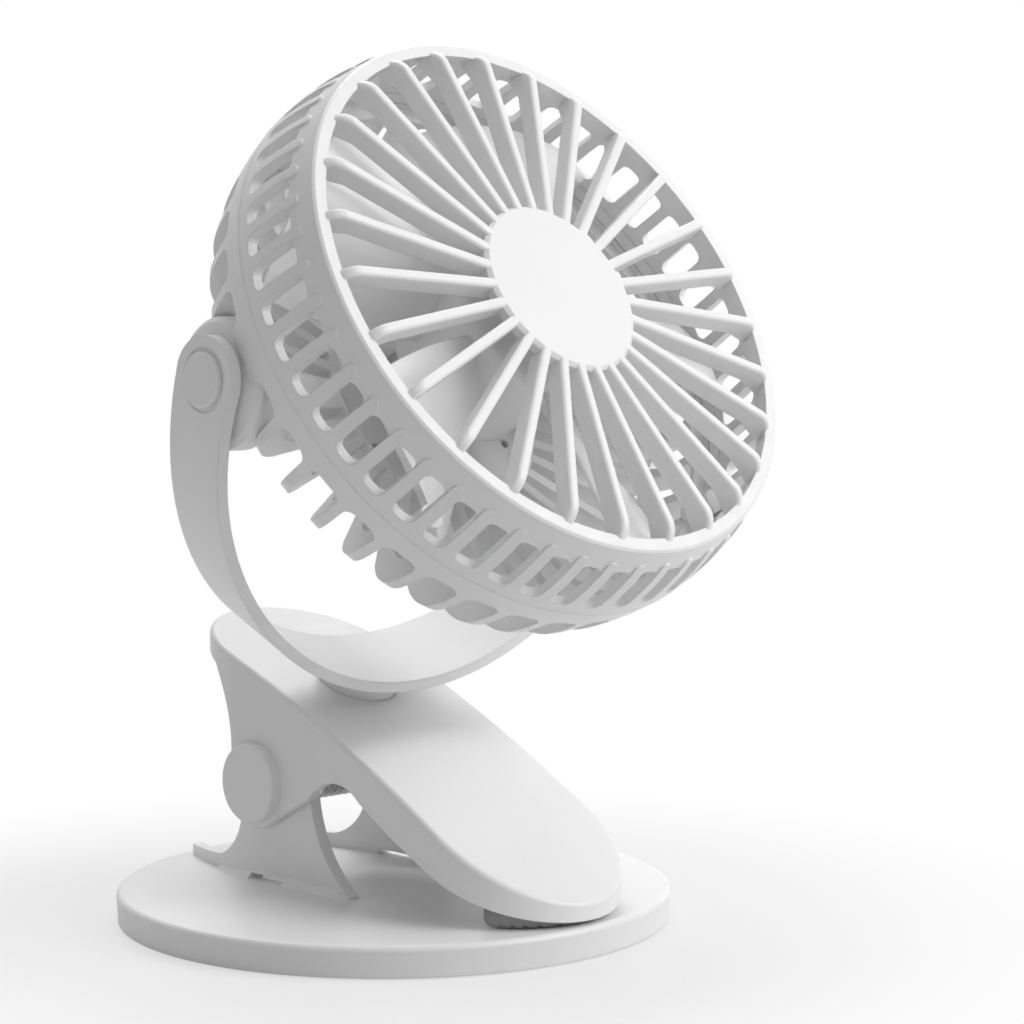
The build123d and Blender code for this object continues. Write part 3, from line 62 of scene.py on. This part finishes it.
# ---- Floor and light -----------------------------------------------------------------
# A plain white table that runs out into a white room. The fan is lit by two broad lamps,
# one high at the front right and one above its back, and by a room that is lighter above.
scene.view_settings.view_transform = "Standard"
room_low_light = 0.11           # strength of the room at the horizon
room_high_light = 0.62          # and straight above
table_radius = 1.5
table_sides = 96
table_white = (0.62, 0.62, 0.624, 1.0)
fade_start = 0.06               # the table goes over into the white room from here
fade_end = 0.17                 # to here, in metres from its middle
fade_least = 0.62               # share of white that it has at its middle


def seen_directly(nodes, links):
    """1 for rays from the camera, off a mirror or through glass, and 0 for rays that light."""
    path = nodes.new("ShaderNodeLightPath")
    seen = path.outputs["Is Camera Ray"]
    for way in ("Is Glossy Ray", "Is Transmission Ray"):
        either = nodes.new("ShaderNodeMath")
        either.operation = "MAXIMUM"
        links.new(seen, either.inputs[0])
        links.new(path.outputs[way], either.inputs[1])
        seen = either.outputs[0]
    return seen


room = bpy.data.worlds.new("white_room")
room.use_nodes = True
room_nodes = room.node_tree.nodes
room_links = room.node_tree.links
room_nodes.clear()
dim = room_nodes.new("ShaderNodeBackground")
dim.inputs["Color"].default_value = (1.0, 1.0, 1.0, 1.0)
room_way = room_nodes.new("ShaderNodeTexCoord")
room_rise = room_nodes.new("ShaderNodeSeparateXYZ")
room_gradient = room_nodes.new("ShaderNodeMapRange")
room_gradient.inputs["To Min"].default_value = room_low_light
room_gradient.inputs["To Max"].default_value = room_high_light
bright = room_nodes.new("ShaderNodeBackground")
bright.inputs["Color"].default_value = (1.0, 1.0, 1.0, 1.0)
bright.inputs["Strength"].default_value = 1.0
room_mix = room_nodes.new("ShaderNodeMixShader")
room_out = room_nodes.new("ShaderNodeOutputWorld")
room_links.new(room_way.outputs["Generated"], room_rise.inputs[0])
room_links.new(room_rise.outputs["Z"], room_gradient.inputs["Value"])
room_links.new(room_gradient.outputs["Result"], dim.inputs["Strength"])
room_links.new(seen_directly(room_nodes, room_links), room_mix.inputs["Fac"])
room_links.new(dim.outputs[0], room_mix.inputs[1])
room_links.new(bright.outputs[0], room_mix.inputs[2])
room_links.new(room_mix.outputs[0], room_out.inputs["Surface"])
scene.world = room


def lamp(name, place, aim, size, power):
    """A round lamp, turned to a point: its diameter in metres and its power in watts."""
    light = bpy.data.lights.new(name, "AREA")
    light.shape = "DISK"
    light.size = size
    light.energy = power
    holder = bpy.data.objects.new(name, light)
    holder.location = place
    holder.rotation_euler = (Vector(aim) - Vector(place)).to_track_quat("-Z", "Y").to_euler()
    scene.collection.objects.link(holder)


lamp("front_lamp", (0.42, -0.80, 0.62), (0.0, 0.0, 0.09), 0.70, 6.8)
lamp("back_lamp", (0.45, 0.50, 1.10), (0.0, 0.0, 0.10), 0.90, 6.9)

table_bm = bmesh.new()
bmesh.ops.create_circle(table_bm, cap_ends=True, radius=table_radius, segments=table_sides)
table_mesh = bpy.data.meshes.new("table_top")
table_bm.to_mesh(table_mesh)
table_bm.free()
table = bpy.data.objects.new("table_top", table_mesh)
scene.collection.objects.link(table)

table_finish = bpy.data.materials.new("white_table")
table_finish.use_nodes = True
table_nodes = table_finish.node_tree.nodes
table_links = table_finish.node_tree.links
table_nodes.clear()
matt = table_nodes.new("ShaderNodeBsdfDiffuse")
matt.inputs["Color"].default_value = table_white
glow = table_nodes.new("ShaderNodeEmission")
glow.inputs["Color"].default_value = (1.0, 1.0, 1.0, 1.0)
place_on_table = table_nodes.new("ShaderNodeTexCoord")
how_far = table_nodes.new("ShaderNodeVectorMath")
how_far.operation = "LENGTH"
fade = table_nodes.new("ShaderNodeMapRange")
fade.interpolation_type = "SMOOTHSTEP"
fade.inputs["From Min"].default_value = fade_start
fade.inputs["From Max"].default_value = fade_end
fade.inputs["To Min"].default_value = fade_least
fade_seen = table_nodes.new("ShaderNodeMath")
fade_seen.operation = "MULTIPLY"
table_mix = table_nodes.new("ShaderNodeMixShader")
table_out = table_nodes.new("ShaderNodeOutputMaterial")
table_links.new(place_on_table.outputs["Object"], how_far.inputs[0])
table_links.new(how_far.outputs["Value"], fade.inputs["Value"])
table_links.new(fade.outputs["Result"], fade_seen.inputs[0])
table_links.new(seen_directly(table_nodes, table_links), fade_seen.inputs[1])
table_links.new(fade_seen.outputs[0], table_mix.inputs["Fac"])
table_links.new(matt.outputs[0], table_mix.inputs[1])
table_links.new(glow.outputs[0], table_mix.inputs[2])
table_links.new(table_mix.outputs[0], table_out.inputs["Surface"])
table_mesh.materials.append(table_finish)

# ---- Base disc and uprights ----------------------------------------------------------
# One white moulding: a low drafted disc with two uprights that carry the clip's pin.
# All the white shells are satin ABS from spark-textured tools, handled on their edges.


def effect(name, inputs, outputs):
    """A node group with named value inputs and outputs, and its two ends."""
    tree = bpy.data.node_groups.new(name, "ShaderNodeTree")
    for label, kind, value in inputs:
        socket = tree.interface.new_socket(label, in_out="INPUT", socket_type=kind)
        socket.default_value = value
    for label, kind in outputs:
        tree.interface.new_socket(label, in_out="OUTPUT", socket_type=kind)
    return tree, tree.nodes.new("NodeGroupInput"), tree.nodes.new("NodeGroupOutput")


def tool_texture():
    """Fine pits of a textured mould over a slow waviness of the moulded wall."""
    tree, start, end = effect(
        "tool_texture",
        [("Pits per Metre", "NodeSocketFloat", 2600.0), ("Waviness", "NodeSocketFloat", 0.3)],
        [("Height", "NodeSocketFloat"), ("Pits", "NodeSocketFloat"), ("Shade", "NodeSocketFloat")])
    where = tree.nodes.new("ShaderNodeTexCoord")
    pits = tree.nodes.new("ShaderNodeTexNoise")
    pits.inputs["Detail"].default_value = 3.0
    pits.inputs["Roughness"].default_value = 0.65
    waves = tree.nodes.new("ShaderNodeTexNoise")
    waves.inputs["Scale"].default_value = 45.0
    waves.inputs["Detail"].default_value = 2.0
    add = tree.nodes.new("ShaderNodeMath")
    add.operation = "MULTIPLY_ADD"
    tree.links.new(where.outputs["Object"], pits.inputs["Vector"])
    tree.links.new(where.outputs["Object"], waves.inputs["Vector"])
    tree.links.new(start.outputs["Pits per Metre"], pits.inputs["Scale"])
    tree.links.new(waves.outputs["Fac"], add.inputs[0])
    tree.links.new(start.outputs["Waviness"], add.inputs[1])
    tree.links.new(pits.outputs["Fac"], add.inputs[2])
    tree.links.new(add.outputs[0], end.inputs["Height"])
    tree.links.new(pits.outputs["Fac"], end.inputs["Pits"])
    tree.links.new(waves.outputs["Fac"], end.inputs["Shade"])
    return tree


def edge_polish():
    """A mask of the edges that hands rub smooth, broken up by a patchy noise."""
    tree, start, end = effect(
        "edge_polish",
        [("Sharpness", "NodeSocketFloat", 0.56), ("Patches per Metre", "NodeSocketFloat", 120.0)],
        [("Mask", "NodeSocketFloat")])
    shape = tree.nodes.new("ShaderNodeNewGeometry")
    where = tree.nodes.new("ShaderNodeTexCoord")
    patches = tree.nodes.new("ShaderNodeTexNoise")
    patches.inputs["Detail"].default_value = 4.0
    nearly_flat = 0.51          # pointiness is 0.5 on a flat face
    edge = tree.nodes.new("ShaderNodeMapRange")
    edge.inputs["From Min"].default_value = nearly_flat
    broken = tree.nodes.new("ShaderNodeMath")
    broken.operation = "MULTIPLY"
    tree.links.new(shape.outputs["Pointiness"], edge.inputs["Value"])
    tree.links.new(start.outputs["Sharpness"], edge.inputs["From Max"])
    tree.links.new(where.outputs["Object"], patches.inputs["Vector"])
    tree.links.new(start.outputs["Patches per Metre"], patches.inputs["Scale"])
    tree.links.new(edge.outputs["Result"], broken.inputs[0])
    tree.links.new(patches.outputs["Fac"], broken.inputs[1])
    tree.links.new(broken.outputs[0], end.inputs["Mask"])
    return tree


tool_texture_group = tool_texture()
edge_polish_group = edge_polish()


def placed(tree, group):
    """Puts a node group into a material."""
    node = tree.nodes.new("ShaderNodeGroup")
    node.node_tree = group
    return node


def ramp(tree, source, low, high):
    """A value that runs between two limits as the source runs from 0 to 1."""
    node = tree.nodes.new("ShaderNodeMapRange")
    node.inputs["To Min"].default_value = low
    node.inputs["To Max"].default_value = high
    tree.links.new(source, node.inputs["Value"])
    return node.outputs["Result"]


def tint(tree, mask, plain, marked):
    """A colour that goes from plain to marked where the mask is 1."""
    node = tree.nodes.new("ShaderNodeMix")
    node.data_type = "RGBA"
    node.inputs["A"].default_value = (*plain, 1.0)
    node.inputs["B"].default_value = (*marked, 1.0)
    tree.links.new(mask, node.inputs["Factor"])
    return node.outputs["Result"]


def relief(tree, height, depth, shader, edge_radius=0.0):
    """Raises the surface by a height map, that deep in metres, and eases its sharp edges."""
    node = tree.nodes.new("ShaderNodeBump")
    if edge_radius:
        eased = tree.nodes.new("ShaderNodeBevel")
        eased.samples = 6
        eased.inputs["Radius"].default_value = edge_radius
        tree.links.new(eased.outputs["Normal"], node.inputs["Normal"])
    node.inputs["Strength"].default_value = 1.0
    node.inputs["Distance"].default_value = depth
    tree.links.new(height, node.inputs["Height"])
    tree.links.new(node.outputs["Normal"], shader.inputs["Normal"])


def moulded(name, colour, shade, polish, rough_low, rough_high, pits=2600.0, depth=0.012 * mm,
            edge_radius=0.35 * mm):
    """Moulded plastic: its colour, its colour where the wall is uneven, and on rubbed edges."""
    material = bpy.data.materials.new(name)
    material.use_nodes = True
    tree = material.node_tree
    shader = tree.nodes["Principled BSDF"]
    texture = placed(tree, tool_texture_group)
    texture.inputs["Pits per Metre"].default_value = pits
    rubbed = placed(tree, edge_polish_group)
    uneven = ramp(tree, texture.outputs["Shade"], 0.0, 1.0)
    body = tint(tree, uneven, colour, shade)
    worn = tree.nodes.new("ShaderNodeMix")
    worn.data_type = "RGBA"
    worn.inputs["B"].default_value = (*polish, 1.0)
    tree.links.new(rubbed.outputs["Mask"], worn.inputs["Factor"])
    tree.links.new(body, worn.inputs["A"])
    tree.links.new(worn.outputs["Result"], shader.inputs["Base Color"])
    roughness = ramp(tree, texture.outputs["Pits"], rough_low, rough_high)
    tree.links.new(roughness, shader.inputs["Roughness"])
    relief(tree, texture.outputs["Height"], depth, shader, edge_radius)
    shader.inputs["IOR"].default_value = 1.50
    return material


shell_white = moulded("satin_white_shell", (0.85, 0.85, 0.855), (0.825, 0.825, 0.83),
                      (0.88, 0.88, 0.88), 0.32, 0.50)


def dress(material, *nodes):
    """Gives the frame's own pieces their finish."""
    for name in nodes:
        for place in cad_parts[name].material_slots:
            place.material = material


dress(shell_white, "base_shell", "base_cover")

# ---- Foot pad ------------------------------------------------------------------------
# A dense grey rubber disc stuck under the base, ribbed in rings so that it grips.
# It is turned here as one profile with rounded edges and shallow ring grooves.


def turned(bm, profile, segments, closed=False):
    """Turns a list of (radius, height) points about Z. Points on the axis close the ends."""
    rings = []
    for radius, height in profile:
        if radius == 0.0:
            rings.append([bm.verts.new((0.0, 0.0, height))])
        else:
            angles = [2 * pi * i / segments for i in range(segments)]
            rings.append([bm.verts.new((radius * cos(a), radius * sin(a), height)) for a in angles])
    pairs = list(zip(rings, rings[1:]))
    if closed:
        pairs.append((rings[-1], rings[0]))
    for low, high in pairs:
        for i in range(segments):
            j = (i + 1) % segments
            corners = [low[i % len(low)], low[j % len(low)],
                       high[j % len(high)], high[i % len(high)]]
            corners = list(dict.fromkeys(corners))      # an end on the axis has one point
            if len(corners) > 2:
                bm.faces.new(corners)


def piece(name, bm, material):
    """Makes a smooth mesh object of a finished bmesh, with all its faces turned outwards."""
    bmesh.ops.recalc_face_normals(bm, faces=bm.faces)
    mesh = bpy.data.meshes.new(name)
    bm.to_mesh(mesh)
    bm.free()
    mesh.materials.append(material)
    made = bpy.data.objects.new(name, mesh)
    scene.collection.objects.link(made)
    mesh.shade_smooth()
    return made


pad_low, pad_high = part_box("foot_pad")
pad_radius = pad_high.x
pad_sides = 128
pad_grooves = 5
pad_groove_width = 1.6 * mm
pad_groove_floor = 0.6          # share of a groove's width that is flat at its floor
pad_groove_depth = 0.30 * mm
pad_edge_share = 0.3            # of the pad's thickness
pad_edge = (pad_high.z - pad_low.z) * pad_edge_share
pad_rounding = 0.06 * mm
pad_rubber = moulded("grey_foot_rubber", (0.115, 0.115, 0.12), (0.09, 0.09, 0.095),
                     (0.19, 0.19, 0.19), 0.62, 0.85, pits=1500.0, depth=0.03 * mm)
pad_profile = [(0.0, pad_low.z)]
for i in range(pad_grooves):
    middle = pad_radius * (i + 1) / (pad_grooves + 1)
    half = pad_groove_width / 2
    floor_half = half * pad_groove_floor
    groove_top = pad_low.z + pad_groove_depth
    pad_profile += [(middle - half, pad_low.z), (middle - floor_half, groove_top),
                    (middle + floor_half, groove_top), (middle + half, pad_low.z)]
pad_profile += [(pad_radius - pad_edge, pad_low.z), (pad_radius, pad_low.z + pad_edge),
                (pad_radius, pad_high.z), (0.0, pad_high.z)]
pad_bm = bmesh.new()
turned(pad_bm, pad_profile, pad_sides)
foot = piece("foot_rubber", pad_bm, pad_rubber)
foot_bevel = foot.modifiers.new("edge_radius", "BEVEL")
foot_bevel.width = pad_rounding
foot_bevel.segments = 2
foot_bevel.limit_method = "ANGLE"
foot_bevel.angle_limit = radians(30.0)
foot_bevel.harden_normals = True
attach(foot, "base")
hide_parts("foot_pad")

# ---- Screws, pins and ballast --------------------------------------------------------
# Zinc-plated screws and pins with a brushed grey shine, and a cast iron ring in the base.
# The screws hold the cover, the swivel, the motor and the dome.


def turned_metal():
    """Fine turning marks round a bright metal part, with cloudy plating."""
    tree, start, end = effect(
        "turned_metal",
        [("Marks per Metre", "NodeSocketFloat", 9000.0)],
        [("Height", "NodeSocketFloat"), ("Cloud", "NodeSocketFloat")])
    where = tree.nodes.new("ShaderNodeTexCoord")
    marks = tree.nodes.new("ShaderNodeTexNoise")
    marks.inputs["Detail"].default_value = 2.0
    cloud = tree.nodes.new("ShaderNodeTexNoise")
    cloud.inputs["Scale"].default_value = 400.0
    cloud.inputs["Detail"].default_value = 3.0
    stretch = tree.nodes.new("ShaderNodeMapping")
    stretch.inputs["Scale"].default_value = (0.08, 1.0, 1.0)
    tree.links.new(where.outputs["Object"], stretch.inputs["Vector"])
    tree.links.new(stretch.outputs["Vector"], marks.inputs["Vector"])
    tree.links.new(where.outputs["Object"], cloud.inputs["Vector"])
    tree.links.new(start.outputs["Marks per Metre"], marks.inputs["Scale"])
    tree.links.new(marks.outputs["Fac"], end.inputs["Height"])
    tree.links.new(cloud.outputs["Fac"], end.inputs["Cloud"])
    return tree


turned_metal_group = turned_metal()


def metal(name, colour, clouded, rough_low, rough_high, depth=0.004 * mm):
    """Bright metal: its colour, its colour where the plating is clouded, and its roughness."""
    material = bpy.data.materials.new(name)
    material.use_nodes = True
    tree = material.node_tree
    shader = tree.nodes["Principled BSDF"]
    shader.inputs["Metallic"].default_value = 1.0
    marks = placed(tree, turned_metal_group)
    cloudy_colour = tint(tree, marks.outputs["Cloud"], colour, clouded)
    roughness = ramp(tree, marks.outputs["Cloud"], rough_low, rough_high)
    tree.links.new(cloudy_colour, shader.inputs["Base Color"])
    tree.links.new(roughness, shader.inputs["Roughness"])
    relief(tree, marks.outputs["Height"], depth, shader)
    return material


zinc = metal("zinc_plate", (0.62, 0.63, 0.65), (0.52, 0.53, 0.54), 0.22, 0.42)
cast_iron = metal("cast_iron", (0.22, 0.22, 0.225), (0.16, 0.155, 0.15), 0.55, 0.75,
                  depth=0.02 * mm)
dress(zinc, "base_screws", "clip_pin", "swivel_screw", "swivel_washer", "pivot_bolt_left",
      "pivot_bolt_right", "grille_screws", "motor_screws", "dome_screws", "motor_shaft")
dress(cast_iron, "ballast_plate")

# ---- Clip spring ---------------------------------------------------------------------
# Six turns of spring wire round a plastic sleeve on the pin, with two long straight legs
# that bear on the base and on the underside of the jaw.
spring_wire = metal("spring_wire", (0.66, 0.66, 0.67), (0.56, 0.555, 0.55), 0.30, 0.45)
sleeve_white = moulded("sleeve_white", (0.82, 0.82, 0.81), (0.79, 0.79, 0.78),
                       (0.85, 0.85, 0.85), 0.32, 0.50)
dress(spring_wire, "torsion_spring")
dress(sleeve_white, "pin_sleeve")

# ---- Clip jaw ------------------------------------------------------------------------
# One white moulding: an arched pressing plate with a rolled edge, two webs, and a round
# boss outside each web that hides the end of the pin.
dress(shell_white, "clip_jaw")

# ---- Jaw pad -------------------------------------------------------------------------
# A soft grey rubber block pressed into the round tip of the jaw. It is built slice by
# slice from the tip to its rounded rear end, with cross ribs that grip the table's edge.
grip_rubber = moulded("grey_grip_rubber", (0.33, 0.33, 0.335), (0.29, 0.29, 0.295),
                      (0.39, 0.39, 0.39), 0.55, 0.80, pits=1800.0, depth=0.03 * mm,
                      edge_radius=0.2 * mm)
grip_low, grip_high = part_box("jaw_pad")
grip_front = grip_low.y
grip_rear = grip_high.y
grip_tip_radius = 20.2 * mm
grip_gap = 0.06 * mm
crown_radius = 429.0 * mm
plate_thick = 2.2 * mm
plate_radius = crown_radius - plate_thick
plate_slope = radians(22.8)
plate_foot = Vector((0.0, 12.4, 49.64)) * mm
plate_centre_y = plate_foot.y + crown_radius * sin(plate_slope)
plate_centre_z = plate_foot.z - crown_radius * cos(plate_slope)
grip_edge = 0.9 * mm
grip_edge_most = (0.5, 0.4)     # of the half width and of the height
grip_edge_turn = ((0.12, 0.55), (0.4, 0.2))     # two points of its round, inwards and up
grip_low_stop = 0.5             # places of the extra points across the pad, of its half width
grip_top_stop = 0.6
grip_lobe = 5.0 * mm
grip_lobe_half = 2.1 * mm
grip_lobe_slope = 1.2 * mm
grip_corner = 5.0 * mm
grip_rib = 1.7 * mm
grip_groove = (0.55, 0.95)      # where the groove lies in each rib's length
grip_groove_depth = 0.35 * mm
grip_end_gap = 0.05 * mm
grip_fine_step = 0.12 * mm      # slices near both ends
grip_step = 0.17 * mm
grip_fine_reach = 3.0 * mm


def grip_slice(y):
    """Outline of the pad across the jaw at one place, as (x, z) points all the way round."""
    from_tip = y - grip_front
    short_of_middle = grip_tip_radius - min(from_tip, grip_tip_radius)
    half = sqrt(max(grip_tip_radius ** 2 - short_of_middle ** 2, 0.0))
    to_rear = grip_rear - y
    if to_rear < grip_corner:
        half -= grip_corner - sqrt(grip_corner ** 2 - (grip_corner - to_rear) ** 2)
    half -= grip_gap
    top = plate_centre_z + sqrt(plate_radius ** 2 - (plate_centre_y - y) ** 2) - grip_gap
    low = grip_low.z
    along = (from_tip % grip_rib) / grip_rib
    if grip_groove[0] < along < grip_groove[1] and to_rear > grip_lobe:
        low += grip_groove_depth
    if to_rear < grip_lobe:
        half_thick = grip_lobe_half * sqrt(1.0 - (1.0 - to_rear / grip_lobe) ** 2)
        low += grip_lobe_half - half_thick
        top = low + 2 * half_thick
    elif to_rear < grip_lobe + grip_lobe_slope:
        lobe_top = low + 2 * grip_lobe_half
        top = lobe_top + (top - lobe_top) * (to_rear - grip_lobe) / grip_lobe_slope
    edge = min(grip_edge, half * grip_edge_most[0], (top - low) * grip_edge_most[1])
    turn = [(half - edge * inward, low + edge * up) for inward, up in grip_edge_turn]
    side = [(half, top), (half, low + edge), *turn, (half - edge, low), (half * grip_low_stop, low)]
    other_side = [(-x, z) for x, z in reversed(side)]
    stop = half * grip_top_stop
    return side + [(0.0, low)] + other_side + [(-stop, top), (0.0, top), (stop, top)]


grip_places = [grip_front + grip_end_gap]
while grip_places[-1] < grip_rear - grip_fine_step:
    near_end = min(grip_places[-1] - grip_front, grip_rear - grip_places[-1]) < grip_fine_reach
    grip_places.append(grip_places[-1] + (grip_fine_step if near_end else grip_step))
grip_bm = bmesh.new()
grip_rings = []
for y in grip_places:
    grip_rings.append([grip_bm.verts.new((x, y, z)) for x, z in grip_slice(y)])
for near, far in zip(grip_rings, grip_rings[1:]):
    for i in range(len(near)):
        j = (i + 1) % len(near)
        grip_bm.faces.new((near[i], near[j], far[j], far[i]))
grip_bm.faces.new(grip_rings[0])
grip_bm.faces.new(list(reversed(grip_rings[-1])))
grip = piece("grip_pad", grip_bm, grip_rubber)
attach(grip, "jaw")
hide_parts("jaw_pad")

# ---- Swivel post ---------------------------------------------------------------------
# A short white collar that turns in the plate and is hollowed above to seat the bracket.
dress(shell_white, "swivel_post")

# ---- U bracket -----------------------------------------------------------------------
# A flat white strip moulded as a U, with a round ear on each side for the tilt bolts.
dress(shell_white, "u_bracket")

# ---- Tilt pivots ---------------------------------------------------------------------
# Round white caps snap over the steel tilt bolts, and a black friction washer behind each
# ear holds the head where it is set.
washer_black = moulded("friction_washer_black", (0.03, 0.03, 0.032), (0.025, 0.025, 0.026),
                       (0.06, 0.06, 0.06), 0.5, 0.7)
dress(shell_white, "pivot_cap_left", "pivot_cap_right")
washer_bore = 2.05 * mm
washer_edge = 0.15 * mm
washer_sides = 64
washer_grooves = 3
for side in ("left", "right"):
    low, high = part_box("friction_washer_" + side)
    middle = (low + high) / 2
    outer = (high.y - low.y) / 2
    half = (high.x - low.x) / 2
    washer_bm = bmesh.new()
    washer_profile = [(washer_bore, -half + washer_edge), (washer_bore + washer_edge, -half)]
    for i in range(washer_grooves):
        groove = washer_bore + (outer - washer_bore) * (i + 1) / (washer_grooves + 1)
        washer_profile += [(groove - washer_edge, -half), (groove, -half + washer_edge),
                           (groove + washer_edge, -half)]
    washer_profile += [(outer - washer_edge, -half), (outer, -half + washer_edge),
                       (outer, half - washer_edge), (outer - washer_edge, half),
                       (washer_bore + washer_edge, half), (washer_bore, half - washer_edge)]
    turned(washer_bm, washer_profile, washer_sides, closed=True)
    washer_bm.transform(Matrix.Translation(middle) @ Matrix.Rotation(radians(90), 4, "Y"))
    washer = piece("friction_ring_" + side, washer_bm, washer_black)
    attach(washer, "bracket")
    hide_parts("friction_washer_" + side)

# ---- Rear shell ----------------------------------------------------------------------
# The back half of the head: long bars run round the edge to a plain middle, and a boss
# stands out at each tilt bolt.
dress(shell_white, "rear_shell")

# ---- Front grille --------------------------------------------------------------------
# The front half of the head: a barrel with a row of openings and thin ribs that fan out
# from a plain disc and turn down into the rim.
dress(shell_white, "front_grille")

# ---- Seam bead -----------------------------------------------------------------------
# A fine half-round bead moulded on the grille's lip. It fills the seam between the two
# shells and shows as a light line round the head.
tilt_axis = Vector((0.0, -18.072, 116.196)) * mm
head_place = Matrix.Translation(tilt_axis) @ Matrix.Rotation(radians(60.0), 4, "X")
bead_depth = 15.95 * mm
bead_sunk = 0.06 * mm
bead_centre = 62.784 * mm - bead_sunk
bead_radius = 0.24 * mm
bead_sides = 10
bead_steps = 256
bead_bm = bmesh.new()
bead_angles = [2 * pi * i / bead_sides for i in range(bead_sides)]
bead_profile = [(bead_centre + bead_radius * cos(a), bead_depth + bead_radius * sin(a))
                for a in bead_angles]
turned(bead_bm, bead_profile, bead_steps, closed=True)
bead_bm.transform(head_place)
bead = piece("seam_bead", bead_bm, shell_white)
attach(bead, "head")

# ---- Fan wheel -----------------------------------------------------------------------
# Five wide curved blades round a cup that covers the motor, moulded in glossier white.
wheel_white = moulded("wheel_white", (0.88, 0.88, 0.885), (0.85, 0.85, 0.855),
                      (0.90, 0.90, 0.90), 0.16, 0.28, pits=900.0, depth=0.006 * mm)
dress(wheel_white, "impeller")

# ---- Motor ---------------------------------------------------------------------------
# A small can motor: drawn steel can, black plastic end cap, bronze bush, iron core and
# a ring magnet.
motor_steel = metal("motor_steel", (0.55, 0.55, 0.56), (0.45, 0.45, 0.46), 0.28, 0.45)
bush_bronze = metal("bush_bronze", (0.55, 0.37, 0.20), (0.44, 0.29, 0.16), 0.35, 0.55)
magnet_grey = moulded("magnet_grey", (0.10, 0.10, 0.105), (0.08, 0.08, 0.082),
                      (0.16, 0.16, 0.16), 0.55, 0.75)
dress(motor_steel, "motor_can", "motor_rotor")
dress(bush_bronze, "motor_bushing")
dress(magnet_grey, "motor_magnet")
dress(washer_black, "motor_end_cap")

# ---- Battery and switch room ---------------------------------------------------------
# A white dome behind the hub with the power button, a charging socket and a small lens.
# Inside lie the flat cell in its wrap, the green board and the switch.
button_white = moulded("button_white", (0.80, 0.80, 0.80), (0.77, 0.77, 0.77),
                       (0.86, 0.86, 0.86), 0.22, 0.34)
board_green = moulded("board_green", (0.02, 0.12, 0.05), (0.015, 0.09, 0.04),
                      (0.20, 0.22, 0.10), 0.25, 0.40)
cell_wrap = moulded("cell_wrap", (0.05, 0.16, 0.42), (0.04, 0.13, 0.36),
                    (0.20, 0.30, 0.50), 0.20, 0.35)
lens_milky = moulded("lens_milky", (0.60, 0.66, 0.68), (0.55, 0.62, 0.65),
                     (0.80, 0.84, 0.85), 0.08, 0.16)
dress(shell_white, "rear_dome")
dress(button_white, "power_button")
dress(washer_black, "switch_body")
dress(zinc, "charging_port")
dress(board_green, "control_board")
dress(cell_wrap, "battery_cell")
dress(lens_milky, "indicator_lens")
